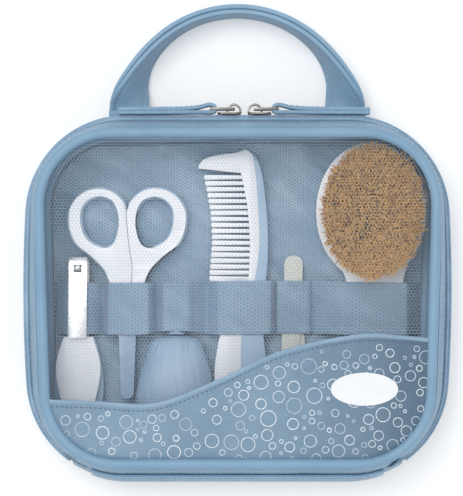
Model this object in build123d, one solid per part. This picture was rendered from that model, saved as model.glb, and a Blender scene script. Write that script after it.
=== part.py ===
from build123d import *
import os
from math import asin, atan2, cos, degrees, exp, hypot, pi, radians, sin, sqrt

# A zipped travel case for baby grooming tools, lying on its back. The origin is the centre
# of the back panel's rest face, +Z points up through the lid and +Y to the carry handle.
# All sizes are in millimetres.

# Outline of the front and back panels, and of the fuller zipper plane between them.
PANEL_TOP_WIDTH = 190.0
PANEL_BOTTOM_WIDTH = 180.5
PANEL_HEIGHT = 158.0
PANEL_CORNER = 36.0
PANEL_BULGE = 0.4
ZIP_TOP_WIDTH = 193.0
ZIP_BOTTOM_WIDTH = 191.0
ZIP_HEIGHT = 172.0
ZIP_CORNER = 48.0
ZIP_BULGE = 5.0

# Heights through the case.
BASE_DEPTH = 24.0
LID_DEPTH = 21.5
PANEL_THICK = 2.4
WALL = 2.0
PIPING = 5.0
PIPING_SIDES = 10
SEAM = 0.1
SOFT_GAP = 0.3
PLAY = 0.05

# Zipper.
TAPE_WIDTH = 3.6
TAPE_THICK = 0.9
CHAIN_WIDTH = 1.9
CHAIN_INSET = 0.1
CHAIN_HEIGHT = 1.3
TOOTH_REACH = 1.1
TOOTH_PITCH = 8.0
TOOTH_GAP = 0.35
TOOTH_STEP = 0.2
SPINE_LENGTH = 137.0
SPINE_THICK = 1.2
SPINE_REACH = 11.0
END_TAB = (9.0, 9.0)

# Sliders and their pulls.
SLIDER_LENGTH = 11.0
SLIDER_PLATE = 0.9
SLIDER_FLANGE = 1.1
SLIDER_GAP = 0.2
SLIDER_APART = 3.3
SLIDER_CENTRE = 3.25
BRIDGE_SPAN = 7.4
BRIDGE_RISE = 4.3
BRIDGE_WIRE = 1.1
BRIDGE_WIDTH = 2.4
LINK_LENGTH = 10.8
LINK_WIDTH = 6.6
LINK_WIRE = 1.2
PULL_LENGTH = 44.0
PULL_WIDTH = 7.2
PULL_THICK = 2.8
PULL_LOOP = 2.5

# Carry handle.
HANDLE_HALF_SPAN = 51.7
HANDLE_RISE = 49.0
HANDLE_WIDTH = 19.3
HANDLE_THICK = 4.8
HANDLE_END_THICK = 2.4
HANDLE_TWIST = 15.0
HANDLE_STATIONS = 18
SEAM_ROLL = 1.9
ANCHOR_THICK = 1.2
ANCHOR_HEIGHT = 12.0

# Lining, window net and printed panel.
LINING_THICK = 2.3
NET_THICK = 0.6
NET_PITCH = 13.0
NET_THREAD = 1.6
POCKET_THICK = 1.1
POCKET_LINE = ((-100.0, -46.2), (-66.0, -47.6), (-38.0, -48.4), (-10.0, -38.0),
               (20.0, -24.4), (54.0, -17.0), (76.0, -17.4), (100.0, -20.0))

# Elastic band, tacked to the lining between the tools.
BAND_TOP = 7.0
BAND_WIDTH = 25.0
BAND_THICK = 0.9
BAND_SLACK = 0.6
BAND_ON_CLIPPER = 6.0
BAND_TACKS = (-86.6, -64.7, -39.2, -15.0, 18.3, 36.2, 86.6)

# Scissors.
SCISSORS_X = -52.6
PIVOT_Y = -8.0
LOOP_OFFSET = 14.2
LOOP_Y = 36.0
LOOP_SIZE = (28.0, 31.0)
FINGER_SIZE = (19.6, 22.8)
NECK_HALF = 9.2
NECK_TOP = 8.5
SHANK_RADIUS = 7.6
SHANK_OFFSET = 8.4
SHANK_Y = 26.5
NECK_END = -2.4
NECK_END_HALF = 7.0
HANDLE_LAYER = 4.6
BLUE_MARGIN = 1.9
PARTING = 0.3
BLADE_THICK = 1.15
BLADE_END = -46.0
BLADE_HALF = 2.6
PIVOT_BOSS = 4.6
TANG_HALF = 1.8
TANG_END = (6.6, 12.0)
RIVET_RADIUS = 1.6
RIVET_HEAD = 2.8
RIVET_HEAD_THICK = 0.9
GUARD_TOP = -16.0
GUARD_END = -48.8
GUARD_HALF = 4.1
GUARD_TIP_HALF = 3.1
GUARD_THICK = 5.0
GUARD_WALL = 1.1

# Nail clipper.
CLIPPER_X = -75.8
ARM_WIDTH = 10.0
ARM_THICK = 1.4
JAW_Y = 18.8
JAW_GAP = 1.0
ARM_REAR = -37.0
POST_Y = 13.4
POST_RADIUS = 1.5
LEVER_WIDTH = 8.8
LEVER_THICK = 1.3
LEVER_END = -19.4
GRIP_FRONT = -19.0
GRIP_WHITE = ((0.0, 6.9), (6.0, 9.0), (13.0, 10.6), (28.0, 8.8), (38.0, 5.2))
GRIP_BLUE = ((0.0, 7.2), (6.0, 9.2), (13.0, 10.8), (28.0, 11.6), (40.0, 7.4))
GRIP_WHITE_LENGTH = 42.0
GRIP_BLUE_LENGTH = 45.0
GRIP_THICK = 10.4
CLIPPER_RISE = 2.2
JAW_RISE = 3.0
PIN_RISE = 8.2
PIN_RADIUS = 0.9
POST_FOOT = 0.9

# Emery boards.
FILE_X = 26.9
FILE_TOP = 19.6
FILE_LENGTH = 76.0
FILE_WIDTH = 8.8
FILE_THICK = 0.9
FILE_TURNS = (0.0, 2.0, -2.0)

# Nasal aspirator: half width and half thickness of the bulb along its length, and its nozzle.
BULB_X = -29.4
BULB_SECTIONS = ((-71.0, 8.0, 4.6), (-66.0, 14.2, 7.6), (-58.0, 18.0, 9.6), (-47.0, 19.0, 10.2),
                 (-34.0, 16.3, 9.4), (-22.0, 12.4, 7.6), (-19.6, 9.6, 6.0), (-18.6, 5.6, 4.6))
NOZZLE_SECTIONS = ((-18.5, 4.6, 4.4), (-8.0, 3.8, 3.8), (0.0, 2.6, 2.6), (6.0, 1.9, 1.9))

# Comb: its back and its tooth roots, from the top down.
COMB_BACK = ((3.4, 70.4), (9.0, 66.0), (12.6, 54.0), (14.4, 36.0), (14.6, 20.0), (12.6, -6.0),
             (12.6, -20.0), (15.2, -38.0), (14.2, -56.0))
COMB_END = (2.6, -69.0)
COMB_FRONT = ((-8.6, -60.0), (-11.0, -42.0), (-8.6, -20.0), (-3.0, -4.0), (4.4, 6.0))
COMB_ROOTS = ((5.2, 8.0), (6.0, 26.0), (5.0, 41.0), (1.6, 59.0))
COMB_SPLIT = ((6.5, 71.5), (8.6, 60.0), (9.8, 44.0), (10.4, 24.0), (6.4, 0.0), (2.0, -20.0),
              (2.2, -40.0), (2.6, -71.0))
COMB_GUARD = ((-18.8, 61.2), (-18.0, 63.4), (-9.0, 67.6))
COMB_TEETH = 18
COMB_FIRST_TOOTH = 8.6
COMB_TOOTH_PITCH = 2.85
COMB_TOOTH_ROOT = 1.75
COMB_TOOTH_TIP = 0.9
COMB_TIPS = ((-13.6, 8.0), (-12.2, 27.0), (-13.0, 41.0), (-16.6, 60.0))
COMB_THICK = 7.4
COMB_TOOTH_THICK = 2.4

# Brush.
BRUSH_X = 63.6
BRUSH_Y = 40.4
BRUSH_HEAD = (52.3, 66.0)
BRUSH_RIM = 3.8
BRUSH_THICK = 11.4
BRUSH_NECK_HALF = 11.2
BRUSH_HANDLE_END = -62.0
BRUSH_HANDLE_HALF = 14.0
BRUSH_LEAN = 0.05
PAD_THICK = 1.2
BRISTLE_COUNT = 220
BRISTLE_LENGTH = 14.5
BRISTLE_RADIUS = 0.7
BRISTLE_SPLAY = 0.09

# Worked-out places.
ZIP_Z = BASE_DEPTH
CASE_DEPTH = BASE_DEPTH + LID_DEPTH
CHAIN_OUTER_Y = ZIP_HEIGHT / 2 - CHAIN_INSET
LINING_TOP = PANEL_THICK + SEAM + LINING_THICK
TOOL_Z = LINING_TOP + SOFT_GAP
HANDLE_AXIS_Y = ZIP_HEIGHT / 2 + 1.5
HANDLE_AXIS_Z = hypot(HANDLE_WIDTH, HANDLE_THICK) / 2 + 0.02
PIVOT_Z = TOOL_Z + HANDLE_LAYER


def lerp(a, b, t):
    """The value a share t of the way from a to b."""
    return a + (b - a) * t


def case_outline(share, grow=0.0):
    """Outline of the case between a panel (share 0) and the zipper plane (share 1), grown."""
    half_top = lerp(PANEL_TOP_WIDTH, ZIP_TOP_WIDTH, share) / 2 + grow
    half_bottom = lerp(PANEL_BOTTOM_WIDTH, ZIP_BOTTOM_WIDTH, share) / 2 + grow
    half_height = lerp(PANEL_HEIGHT, ZIP_HEIGHT, share) / 2 + grow
    bulge = lerp(PANEL_BULGE, ZIP_BULGE, share)
    corner = lerp(PANEL_CORNER, ZIP_CORNER, share) + grow
    middle = (half_top + half_bottom) / 2 + bulge
    edges = [
        Line((-half_bottom, -half_height), (half_bottom, -half_height)),
        ThreePointArc((half_bottom, -half_height), (middle, 0), (half_top, half_height)),
        Line((half_top, half_height), (-half_top, half_height)),
        ThreePointArc((-half_top, half_height), (-middle, 0), (-half_bottom, -half_height)),
    ]
    face = make_face(Curve() + edges)
    return fillet(face.vertices(), corner)


def wall_share(z):
    """How far a height lies from its panel towards the zipper plane."""
    if z <= ZIP_Z:
        return z / ZIP_Z
    return (CASE_DEPTH - z) / LID_DEPTH


def ring_wall(z0, z1, outer, inner):
    """A wall that follows the case between two heights, from one inset to another."""
    shell = []
    for grow in (-outer, -inner):
        low = Pos(0, 0, z0) * case_outline(wall_share(z0), grow)
        high = Pos(0, 0, z1) * case_outline(wall_share(z1), grow)
        shell.append(loft([low, high], ruled=True))
    return shell[0] - shell[1]


def slab(face, z0, z1):
    """A flat face carried from one height to another."""
    return extrude(Pos(0, 0, z0) * face, z1 - z0)


def block(x0, x1, y0, y1, z0, z1):
    """A box between given corners."""
    centre = ((x0 + x1) / 2, (y0 + y1) / 2, (z0 + z1) / 2)
    return Pos(*centre) * Box(x1 - x0, y1 - y0, z1 - z0)


def side_profile(points, x0, x1):
    """A shape given by its (y, z) corners, carried along X."""
    face = make_face(Polyline(*[(x0, y, z) for y, z in points], close=True))
    return Solid.extrude(face.face(), Vector(x1 - x0, 0, 0))


def cylinder_z(x, y, z0, z1, radius):
    """An upright cylinder."""
    return Pos(x, y, (z0 + z1) / 2) * Cylinder(radius, z1 - z0)


def piping(z):
    """The round welt on a panel's edge."""
    path = (Pos(0, 0, z) * case_outline(0, -PIPING / 2)).wire()
    start = path.position_at(0)
    plane = Plane(origin=start, z_dir=path.tangent_at(0))
    return sweep(plane * RegularPolygon(PIPING / 2, PIPING_SIDES), path=path)


def base_case():
    """Back panel, piping, side wall and lining of the fixed half."""
    inset = PIPING + SEAM
    panel = slab(case_outline(0, -inset), 0, PANEL_THICK)
    gusset = ring_wall(PIPING + SEAM, ZIP_Z - TAPE_WIDTH - CHAIN_HEIGHT, 0.6, 0.6 + WALL)
    lining = slab(case_outline(0, -inset - 0.6), PANEL_THICK + SEAM, LINING_TOP)
    return {"back_panel": panel, "back_piping": piping(PIPING / 2),
            "base_gusset": gusset, "base_lining": lining}


def pocket_edge():
    """The wavy top edge of the printed pocket panel."""
    return Spline(*POCKET_LINE)


def below_pocket_line(drop=0.0):
    """Everything on the lid's front below the wavy edge, lowered if asked."""
    edge = Pos(0, -drop, 0) * pocket_edge()
    start, end = edge.position_at(0), edge.position_at(1)
    floor_y = -PANEL_HEIGHT
    rest = Polyline(end, (end.X, floor_y), (start.X, floor_y), start)
    return make_face([edge, *rest.edges()])


def window_net(z0):
    """The see-through front: a flat sheet with a honeycomb of holes."""
    window = case_outline(0, -PIPING - SEAM)
    sheet = window - below_pocket_line(5.0)
    safe = case_outline(0, -PIPING - NET_PITCH / 2 - 1.0) - below_pocket_line(-NET_PITCH / 2 - 0.6)
    safe_face = safe.face()
    hole_radius = (NET_PITCH - NET_THREAD) / sqrt(3)
    row_step = NET_PITCH * sqrt(3) / 2
    columns = int(PANEL_TOP_WIDTH / NET_PITCH / 2) + 1
    rows = int(PANEL_HEIGHT / row_step / 2) + 1
    holes = []
    for row in range(-rows, rows + 1):
        for column in range(-columns, columns + 1):
            x = (column + 0.5 * (row % 2)) * NET_PITCH
            y = row * row_step
            if safe_face.is_inside(Vector(x, y, 0)):
                hexagon = Pos(x, y) * RegularPolygon(hole_radius, 6, rotation=30)
                holes.append(hexagon.wire())
    holed = Face(sheet.face().outer_wire(), holes)
    return Solid.extrude(Pos(0, 0, z0) * holed, Vector(0, 0, NET_THICK))


def lid_case():
    """Side wall, piping, window net and printed pocket of the lid."""
    gusset_low = ZIP_Z + TAPE_WIDTH + CHAIN_HEIGHT
    gusset = ring_wall(gusset_low, CASE_DEPTH - PIPING - SEAM, 0.6, 0.6 + WALL)
    net_z = CASE_DEPTH - PIPING / 2
    pocket_face = case_outline(0, -PIPING - SEAM) & below_pocket_line()
    pocket = slab(pocket_face, net_z + NET_THICK + 0.02, net_z + NET_THICK + POCKET_THICK)
    return {"lid_gusset": gusset, "lid_piping": piping(CASE_DEPTH - PIPING / 2),
            "window_net": window_net(net_z), "bubble_panel": pocket}


def open_at_spine(shape):
    """Takes away the stretch of zipper that the spine replaces."""
    half = SPINE_LENGTH / 2 + END_TAB[0] + 0.6
    return shape - block(-half, half, -ZIP_HEIGHT, -ZIP_HEIGHT / 4, -1, CASE_DEPTH + 1)


def chain(z_edge, direction, phase):
    """One row of zipper teeth on its bead, reaching towards the other row."""
    middle = case_outline(1, -CHAIN_INSET - CHAIN_WIDTH / 2)
    strip = case_outline(1, -CHAIN_INSET) - case_outline(1, -CHAIN_INSET - CHAIN_WIDTH)
    bead_from = z_edge + direction * TOOTH_REACH / 2
    bead = slab(strip, bead_from, bead_from + direction * CHAIN_HEIGHT)
    bead = open_at_spine(bead)
    path = middle.wire()
    count = int(path.length / TOOTH_PITCH)
    half = SPINE_LENGTH / 2 + END_TAB[0] + TOOTH_PITCH / 2
    width = TOOTH_PITCH / 2 - TOOTH_GAP
    reach = TOOTH_REACH - 0.15
    teeth = []
    for number in range(count):
        at = ((number + phase) % count) / count
        point = path.position_at(at)
        if abs(point.X) < half and point.Y < 0:
            continue
        along = path.tangent_at(at)
        turn = degrees(atan2(along.Y, along.X))
        centre = Pos(point.X, point.Y, bead_from - direction * (reach / 2 - 0.2))
        tooth = Box(width, CHAIN_WIDTH - 2 * TOOTH_STEP, reach + 0.4)
        teeth.append(centre * Rot(0, 0, turn) * tooth)
    return bead.fuse(*teeth)


def tape(z0, z1):
    """The fabric strip that carries a row of teeth."""
    inset = CHAIN_INSET + CHAIN_WIDTH
    return open_at_spine(ring_wall(z0, z1, inset - TAPE_THICK, inset))


def zipper():
    """Both tapes and both rows of teeth."""
    bead = TOOTH_REACH / 2 + CHAIN_HEIGHT
    return {
        "base_tape": tape(ZIP_Z - TAPE_WIDTH - CHAIN_HEIGHT + SEAM, ZIP_Z - bead - 0.02),
        "base_chain": chain(ZIP_Z, -1, 0.0),
        "lid_tape": tape(ZIP_Z + bead + 0.02, ZIP_Z + TAPE_WIDTH + CHAIN_HEIGHT - SEAM),
        "lid_chain": chain(ZIP_Z, 1, 0.5),
    }


def spine():
    """The plain hinge strip, in a part on each half, and the tabs on the zipper's ends."""
    half = SPINE_LENGTH / 2
    crest = -ZIP_HEIGHT / 2 - SPINE_THICK
    inner = crest + SPINE_THICK + 0.05
    lean = (ZIP_HEIGHT - PANEL_HEIGHT) / 2
    nodes = {}
    for name, way, depth in (("spine_base", -1, BASE_DEPTH), ("spine_lid", 1, LID_DEPTH)):
        near = ZIP_Z + way * SEAM
        far = ZIP_Z + way * SPINE_REACH
        shift = lean * SPINE_REACH / depth
        strip = ((crest, near), (inner, near), (inner + shift, far), (crest + shift, far))
        nodes[name] = side_profile(strip, -half, half)
    for name, side in (("left", -1), ("right", 1)):
        start = side * (half + 0.2)
        end = start + side * END_TAB[0]
        face_x = sorted((start, end))
        ring = ring_wall(ZIP_Z - END_TAB[1], ZIP_Z - SEAM, -0.9, 0.5)
        cut = block(face_x[0], face_x[1], -ZIP_HEIGHT, -ZIP_HEIGHT / 4, 0, CASE_DEPTH)
        nodes["end_tab_" + name] = ring & cut
    return nodes


def pull_centre(side):
    """Where a pull's link turns in its slider's bridge."""
    middle = SLIDER_CENTRE + side * (SLIDER_LENGTH + SLIDER_APART) / 2
    plate_outer = CHAIN_OUTER_Y + SLIDER_GAP + SLIDER_PLATE
    return middle - side * 2.2, plate_outer + (BRIDGE_RISE - BRIDGE_WIRE) / 2


def slider(side):
    """A slider on the top run: face plate, lower flange and arched bridge."""
    middle = SLIDER_CENTRE + side * (SLIDER_LENGTH + SLIDER_APART) / 2
    half = SLIDER_LENGTH / 2
    inner = CHAIN_OUTER_Y + SLIDER_GAP
    outer = inner + SLIDER_PLATE
    bead_low = ZIP_Z - TOOTH_REACH / 2 - CHAIN_HEIGHT
    z0 = bead_low - SLIDER_GAP - SLIDER_FLANGE
    z1 = 2 * ZIP_Z - z0
    plate = Pos(middle, 0, 0) * Plane.XZ * RectangleRounded(SLIDER_LENGTH, z1 - z0, 2.2)
    plate = Pos(0, 0, ZIP_Z) * plate
    body = Solid.extrude((Pos(0, inner, 0) * plate).face(), Vector(0, SLIDER_PLATE, 0))
    tape_face = CHAIN_OUTER_Y - CHAIN_WIDTH + TAPE_THICK + SLIDER_GAP
    flange = block(middle - half + 2, middle + half - 2, tape_face, outer,
                   z0, z0 + SLIDER_FLANGE)
    x, y = pull_centre(side)
    span = BRIDGE_SPAN / 2
    arch = Pos(x, outer) * (Ellipse(span, BRIDGE_RISE)
                            - Ellipse(span - BRIDGE_WIRE, BRIDGE_RISE - BRIDGE_WIRE))
    arch = arch - Pos(x, outer - BRIDGE_RISE / 2 - 0.2) * Rectangle(2 * span, BRIDGE_RISE)
    bridge = slab(arch, ZIP_Z - BRIDGE_WIDTH / 2, ZIP_Z + BRIDGE_WIDTH / 2)
    return body.fuse(flange, bridge.solid())


def pull_link(side):
    """The flat metal ring that joins a pull to its slider."""
    x, y = pull_centre(side)
    far = x + side * LINK_LENGTH
    bar = LINK_WIRE / 2
    half = LINK_WIDTH / 2
    near_bar = cylinder_z(x, y, ZIP_Z - half, ZIP_Z + half, bar)
    far_bar = cylinder_z(far, y, ZIP_Z - half, ZIP_Z + half, bar)
    x0, x1 = sorted((x, far))
    sides = [block(x0, x1, y - bar, y + bar, z - bar, z + bar)
             for z in (ZIP_Z - half, ZIP_Z + half)]
    ends = [cylinder_z(at, y, z - bar, z + bar, bar)
            for at in (x, far) for z in (ZIP_Z - half, ZIP_Z + half)]
    return near_bar.fuse(far_bar, *sides, *ends)


def pull_tab(side):
    """A folded strip looped through the link, fuller at its loop."""
    x, y = pull_centre(side)
    far = x + side * LINK_LENGTH
    end = far + side * PULL_LENGTH
    loop = Pos(far, y) * Circle(PULL_LOOP)
    tail = Pos(end, y - 0.1) * Circle(PULL_THICK / 2)
    outline = make_hull(loop.edges() + tail.edges())
    half = PULL_WIDTH / 2
    bar_room = LINK_WIDTH / 2 - LINK_WIRE / 2 - 0.3
    strip = slab(outline, ZIP_Z - half, ZIP_Z + half)
    eye = slab(Pos(far, y) * Circle(LINK_WIRE / 2 + 0.15), ZIP_Z - half - 1, ZIP_Z + half + 1)
    strip = strip - eye
    for z0, z1 in ((ZIP_Z - half - 1, ZIP_Z - bar_room), (ZIP_Z + bar_room, ZIP_Z + half + 1)):
        notch = sorted((far - side * (PULL_LOOP + 1), far + side * (LINK_WIRE / 2 + 0.3)))
        strip = strip - block(notch[0], notch[1], y - 5, y + 5, z0, z1)
    return strip


def handle_anchor(side):
    """The sewn end of the carry handle: a patch on the top wall with a rolled seam."""
    x = side * HANDLE_HALF_SPAN
    half = HANDLE_WIDTH / 2
    roll = Pos(x, HANDLE_AXIS_Y, HANDLE_AXIS_Z) * Rot(0, 90, 0) * Cylinder(SEAM_ROLL, HANDLE_WIDTH)
    z0 = HANDLE_AXIS_Z - ANCHOR_HEIGHT / 2
    z1 = HANDLE_AXIS_Z + ANCHOR_HEIGHT / 2
    patch = ring_wall(z0, z1, 0.5 - ANCHOR_THICK, 0.5)
    patch = patch & block(x - half, x + half, PANEL_HEIGHT / 4, ZIP_HEIGHT, z0, z1)
    web_inner = ZIP_HEIGHT / 2 - 4.5
    web = block(x - half, x + half, web_inner, HANDLE_AXIS_Y, HANDLE_AXIS_Z - 1.0,
                HANDLE_AXIS_Z + 1.0)
    web = web - ring_wall(z0, z1, 0.5 - ANCHOR_THICK / 2, 30)
    return patch.solid().fuse(roll.solid(), *web.solids())


def handle():
    """The carry handle: a flat strap that leaves the seam flat and turns on edge at the top."""
    sections = []
    start = asin((SEAM_ROLL + SOFT_GAP) / HANDLE_RISE)
    for number in range(HANDLE_STATIONS + 1):
        share = number / HANDLE_STATIONS
        angle = lerp(start, pi - start, share)
        from_base = degrees(min(angle, pi - angle) - start)
        turn = 90 * (1 - exp(-from_base / HANDLE_TWIST))
        if angle > pi / 2:
            turn = 180 - turn
        thick = lerp(HANDLE_END_THICK, HANDLE_THICK, min(1.0, from_base / 10))
        centre = Vector(-HANDLE_HALF_SPAN * cos(angle),
                        HANDLE_AXIS_Y + HANDLE_RISE * sin(angle), HANDLE_AXIS_Z)
        along = Vector(HANDLE_HALF_SPAN * sin(angle), HANDLE_RISE * cos(angle), 0).normalized()
        if number in (0, HANDLE_STATIONS):
            along = Vector(0, 1 if number == 0 else -1, 0)
        outward = Vector(-along.Y, along.X, 0)
        across = outward * cos(radians(turn)) + Vector(0, 0, 1) * sin(radians(turn))
        plane = Plane(origin=centre, x_dir=across, z_dir=along)
        sections.append(plane * Rectangle(HANDLE_WIDTH, thick))
    return loft(sections, ruled=True)


def paddle(x, y, lean, stations, length):
    """A symmetrical handle outline: half widths along its length, then a rounded end."""
    def place(run, half):
        return (x + lean * run + half, y - run)
    right = [place(run, half) for run, half in stations]
    left = [place(run, -half) for run, half in reversed(stations)]
    curve = Spline(*right, place(length, 0), *left)
    return make_face([curve, Line(left[-1], right[0])])


def scissor_outline(side, inset):
    """Plan of one scissors handle: a teardrop loop that narrows to the pivot."""
    x = SCISSORS_X + side * LOOP_OFFSET
    radius = LOOP_SIZE[0] / 2 - inset / 2
    run = (LOOP_SIZE[1] - LOOP_SIZE[0]) / 2
    small = 2.0
    ring = make_hull((Pos(x, LOOP_Y + run) * Circle(radius)).edges()
                     + (Pos(x, LOOP_Y - run) * Circle(radius)).edges())
    spots = [
        Pos(SCISSORS_X + side * SHANK_OFFSET, SHANK_Y) * Circle(SHANK_RADIUS - inset / 2),
        Pos(SCISSORS_X + side * (NECK_HALF - inset - small), NECK_TOP) * Circle(small),
        Pos(SCISSORS_X + side * (NECK_END_HALF - inset - small), NECK_END + small) * Circle(small),
        Pos(SCISSORS_X + side * small, NECK_END + small) * Circle(small),
    ]
    shank = make_hull([edge for spot in spots for edge in spot.edges()])
    hole = Pos(x + side * 0.3, LOOP_Y) * Ellipse(FINGER_SIZE[0] / 2, FINGER_SIZE[1] / 2)
    reach = LOOP_SIZE[0] * 2
    own_side = Pos(SCISSORS_X + side * (PARTING + reach) / 2, LOOP_Y) * Rectangle(reach, 4 * reach)
    return ((ring + shank) - hole) & own_side


def scissor_blade(side, z0):
    """A steel blade with its pivot boss and the tang that goes up into its handle."""
    pivot = Pos(SCISSORS_X, PIVOT_Y)
    tip = BLADE_HALF / 2
    edge_spots = [Pos(SCISSORS_X, GUARD_TOP) * Circle(BLADE_HALF),
                  Pos(SCISSORS_X, BLADE_END + tip) * Circle(tip)]
    tang_end = Pos(SCISSORS_X + side * TANG_END[0], TANG_END[1])
    tang_spots = [pivot * Circle(TANG_HALF), tang_end * Circle(TANG_HALF)]
    plan = pivot * Circle(PIVOT_BOSS)
    plan += make_hull([e for spot in [pivot * Circle(BLADE_HALF), edge_spots[0]]
                       for e in spot.edges()])
    plan += make_hull([e for spot in edge_spots for e in spot.edges()])
    plan += make_hull([e for spot in tang_spots for e in spot.edges()])
    return slab(plan, z0, z0 + BLADE_THICK)


def scissors():
    """Two halves that cross at a rivet, and the clip that covers the blades."""
    low_z = PIVOT_Z - PLAY - BLADE_THICK
    high_z = PIVOT_Z + PLAY
    low_blade = scissor_blade(-1, low_z)
    high_blade = scissor_blade(1, high_z)
    nodes = {}
    for name, side, tang in (("left", -1, low_blade), ("right", 1, high_blade)):
        blue = slab(scissor_outline(side, 0), TOOL_Z, PIVOT_Z)
        white = slab(scissor_outline(side, BLUE_MARGIN), PIVOT_Z, PIVOT_Z + HANDLE_LAYER)
        nodes["scissors_" + name + "_blue"] = blue - tang
        nodes["scissors_" + name + "_white"] = white - tang
    x, y = SCISSORS_X, PIVOT_Y
    top = high_z + BLADE_THICK + PLAY
    shaft = cylinder_z(x, y, low_z - RIVET_HEAD_THICK, top + RIVET_HEAD_THICK, RIVET_RADIUS)
    foot = cylinder_z(x, y, low_z - RIVET_HEAD_THICK, low_z, RIVET_HEAD)
    head = cylinder_z(x, y, top, top + RIVET_HEAD_THICK, RIVET_HEAD)
    nodes["scissors_rivet"] = shaft.solid().fuse(foot.solid(), head.solid())
    nodes["scissors_left_blade"] = low_blade - cylinder_z(x, y, 0, CASE_DEPTH, RIVET_RADIUS)
    nodes["scissors_right_blade"] = high_blade - cylinder_z(x, y, 0, CASE_DEPTH,
                                                            RIVET_RADIUS + PLAY)
    nodes["blade_guard"] = blade_guard()
    return nodes


def blade_guard():
    """A clip over both blades, open along its left edge so that it can be drawn off."""
    x = SCISSORS_X
    corner = 1.0
    spots = [Pos(x + side * (GUARD_HALF - corner), GUARD_TOP - corner) * Circle(corner)
             for side in (-1, 1)]
    spots.append(Pos(x, GUARD_END + GUARD_TIP_HALF) * Circle(GUARD_TIP_HALF))
    plan = make_hull([edge for spot in spots for edge in spot.edges()])
    body = slab(plan, PIVOT_Z - GUARD_THICK / 2, PIVOT_Z + GUARD_THICK / 2)
    room = BLADE_THICK + 0.35
    slot_plan = make_face(Polyline((x - 10, GUARD_TOP + 1), (x + BLADE_HALF + 0.35, GUARD_TOP + 1),
                                   (x + BLADE_HALF + 0.35, GUARD_TOP - 3),
                                   (x + BLADE_HALF / 2 + 0.5, BLADE_END - 0.5),
                                   (x - 10, BLADE_END - 0.5), close=True))
    return body - slab(slot_plan, PIVOT_Z - room, PIVOT_Z + room)


def nail_clipper():
    """Sprung steel jaws on a two-tone grip, with a lever on a turning post."""
    x = CLIPPER_X
    z = TOOL_Z + CLIPPER_RISE
    half = ARM_WIDTH / 2
    meet = z + JAW_RISE
    low = side_profile(((ARM_REAR, z), (JAW_Y - 1.6, z), (JAW_Y, z + 1.0), (JAW_Y, meet),
                        (JAW_Y - 0.5, meet), (JAW_Y - 2.4, z + ARM_THICK),
                        (ARM_REAR, z + ARM_THICK)), x - half, x + half)
    rear = z + ARM_THICK + 0.1
    front = meet + JAW_GAP
    high = side_profile(((ARM_REAR, rear), (JAW_Y - 2.6, front + 1.0), (JAW_Y - 0.5, front),
                         (JAW_Y, front), (JAW_Y, front + 1.6), (JAW_Y - 1.8, front + 2.4),
                         (ARM_REAR, rear + ARM_THICK)), x - half, x + half)
    hole = cylinder_z(x, POST_Y, 0, CASE_DEPTH, POST_RADIUS + 0.3)
    pin_z = z + PIN_RISE
    foot_z = z - PLAY - POST_FOOT
    post = cylinder_z(x, POST_Y, foot_z, pin_z + PIN_RADIUS, POST_RADIUS)
    foot = cylinder_z(x, POST_Y, foot_z, z - PLAY, POST_RADIUS + 1.2)
    cross = Pos(x, POST_Y, pin_z) * Rot(0, 90, 0) * Cylinder(PIN_RADIUS, LEVER_WIDTH)
    lever = side_profile(((JAW_Y, pin_z - 0.9), (JAW_Y, pin_z + 0.4), (POST_Y + 1.5, pin_z + 1.7),
                          (POST_Y - 3.0, pin_z + 1.9), (LEVER_END, pin_z + 5.2),
                          (LEVER_END, pin_z + 3.9), (POST_Y - 5.2, pin_z + 0.6),
                          (POST_Y - 4.6, pin_z - 1.75), (POST_Y - 3.2, pin_z - 1.7),
                          (POST_Y - 2.2, pin_z - 1.1)),
                         x - LEVER_WIDTH / 2, x + LEVER_WIDTH / 2)
    room = POST_RADIUS + 0.35
    lever = lever - block(x - room, x + room, POST_Y - room, POST_Y + room, 0, CASE_DEPTH)
    pin_hole = Pos(x, POST_Y, pin_z) * Rot(0, 90, 0) * Cylinder(PIN_RADIUS + PLAY + 0.01, ARM_WIDTH)
    mid = TOOL_Z + GRIP_THICK / 2
    blue = slab(paddle(x, GRIP_FRONT, 0, GRIP_BLUE, GRIP_BLUE_LENGTH), TOOL_Z, mid)
    white = slab(paddle(x, GRIP_FRONT, 0, GRIP_WHITE, GRIP_WHITE_LENGTH), mid,
                 TOOL_Z + GRIP_THICK)
    slot_top = rear + ARM_THICK + 2.0
    slot = block(x - half - 0.4, x + half + 0.4, ARM_REAR, GRIP_FRONT + 1, z, slot_top)
    return {
        "clipper_lower_arm": low - hole,
        "clipper_upper_arm": high - hole,
        "clipper_post": post.solid().fuse(foot.solid(), cross.solid()),
        "clipper_lever": lever - pin_hole,
        "clipper_grip_blue": blue - slot,
        "clipper_grip_white": white - slot,
    }


def nail_files():
    """Emery boards stacked flat and slightly fanned."""
    nodes = {}
    for number, turn in enumerate(FILE_TURNS):
        z0 = TOOL_Z + number * (FILE_THICK + 0.05)
        board = SlotOverall(FILE_LENGTH, FILE_WIDTH, rotation=90)
        board = Pos(0, -FILE_LENGTH / 2 + FILE_WIDTH) * board
        board = Pos(FILE_X, FILE_TOP - FILE_WIDTH) * Rot(0, 0, turn) * board
        nodes["nail_file_" + str(number + 1)] = slab(board, z0, z0 + FILE_THICK)
    return nodes


def lying_sections(sections, centre_height):
    """Oval sections of something that lies on the lining, along Y."""
    faces = []
    for y, half_width, half_height in sections:
        height = centre_height if centre_height else half_height
        plane = Plane(origin=(BULB_X, y, TOOL_Z + height), x_dir=(1, 0, 0), z_dir=(0, 1, 0))
        faces.append(plane * Ellipse(half_width, half_height))
    return loft(faces, ruled=True)


def aspirator():
    """A squeeze bulb and its hard nozzle."""
    return {"aspirator_bulb": lying_sections(BULB_SECTIONS, None),
            "aspirator_nozzle": lying_sections(NOZZLE_SECTIONS, BULB_SECTIONS[-1][2])}


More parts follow.
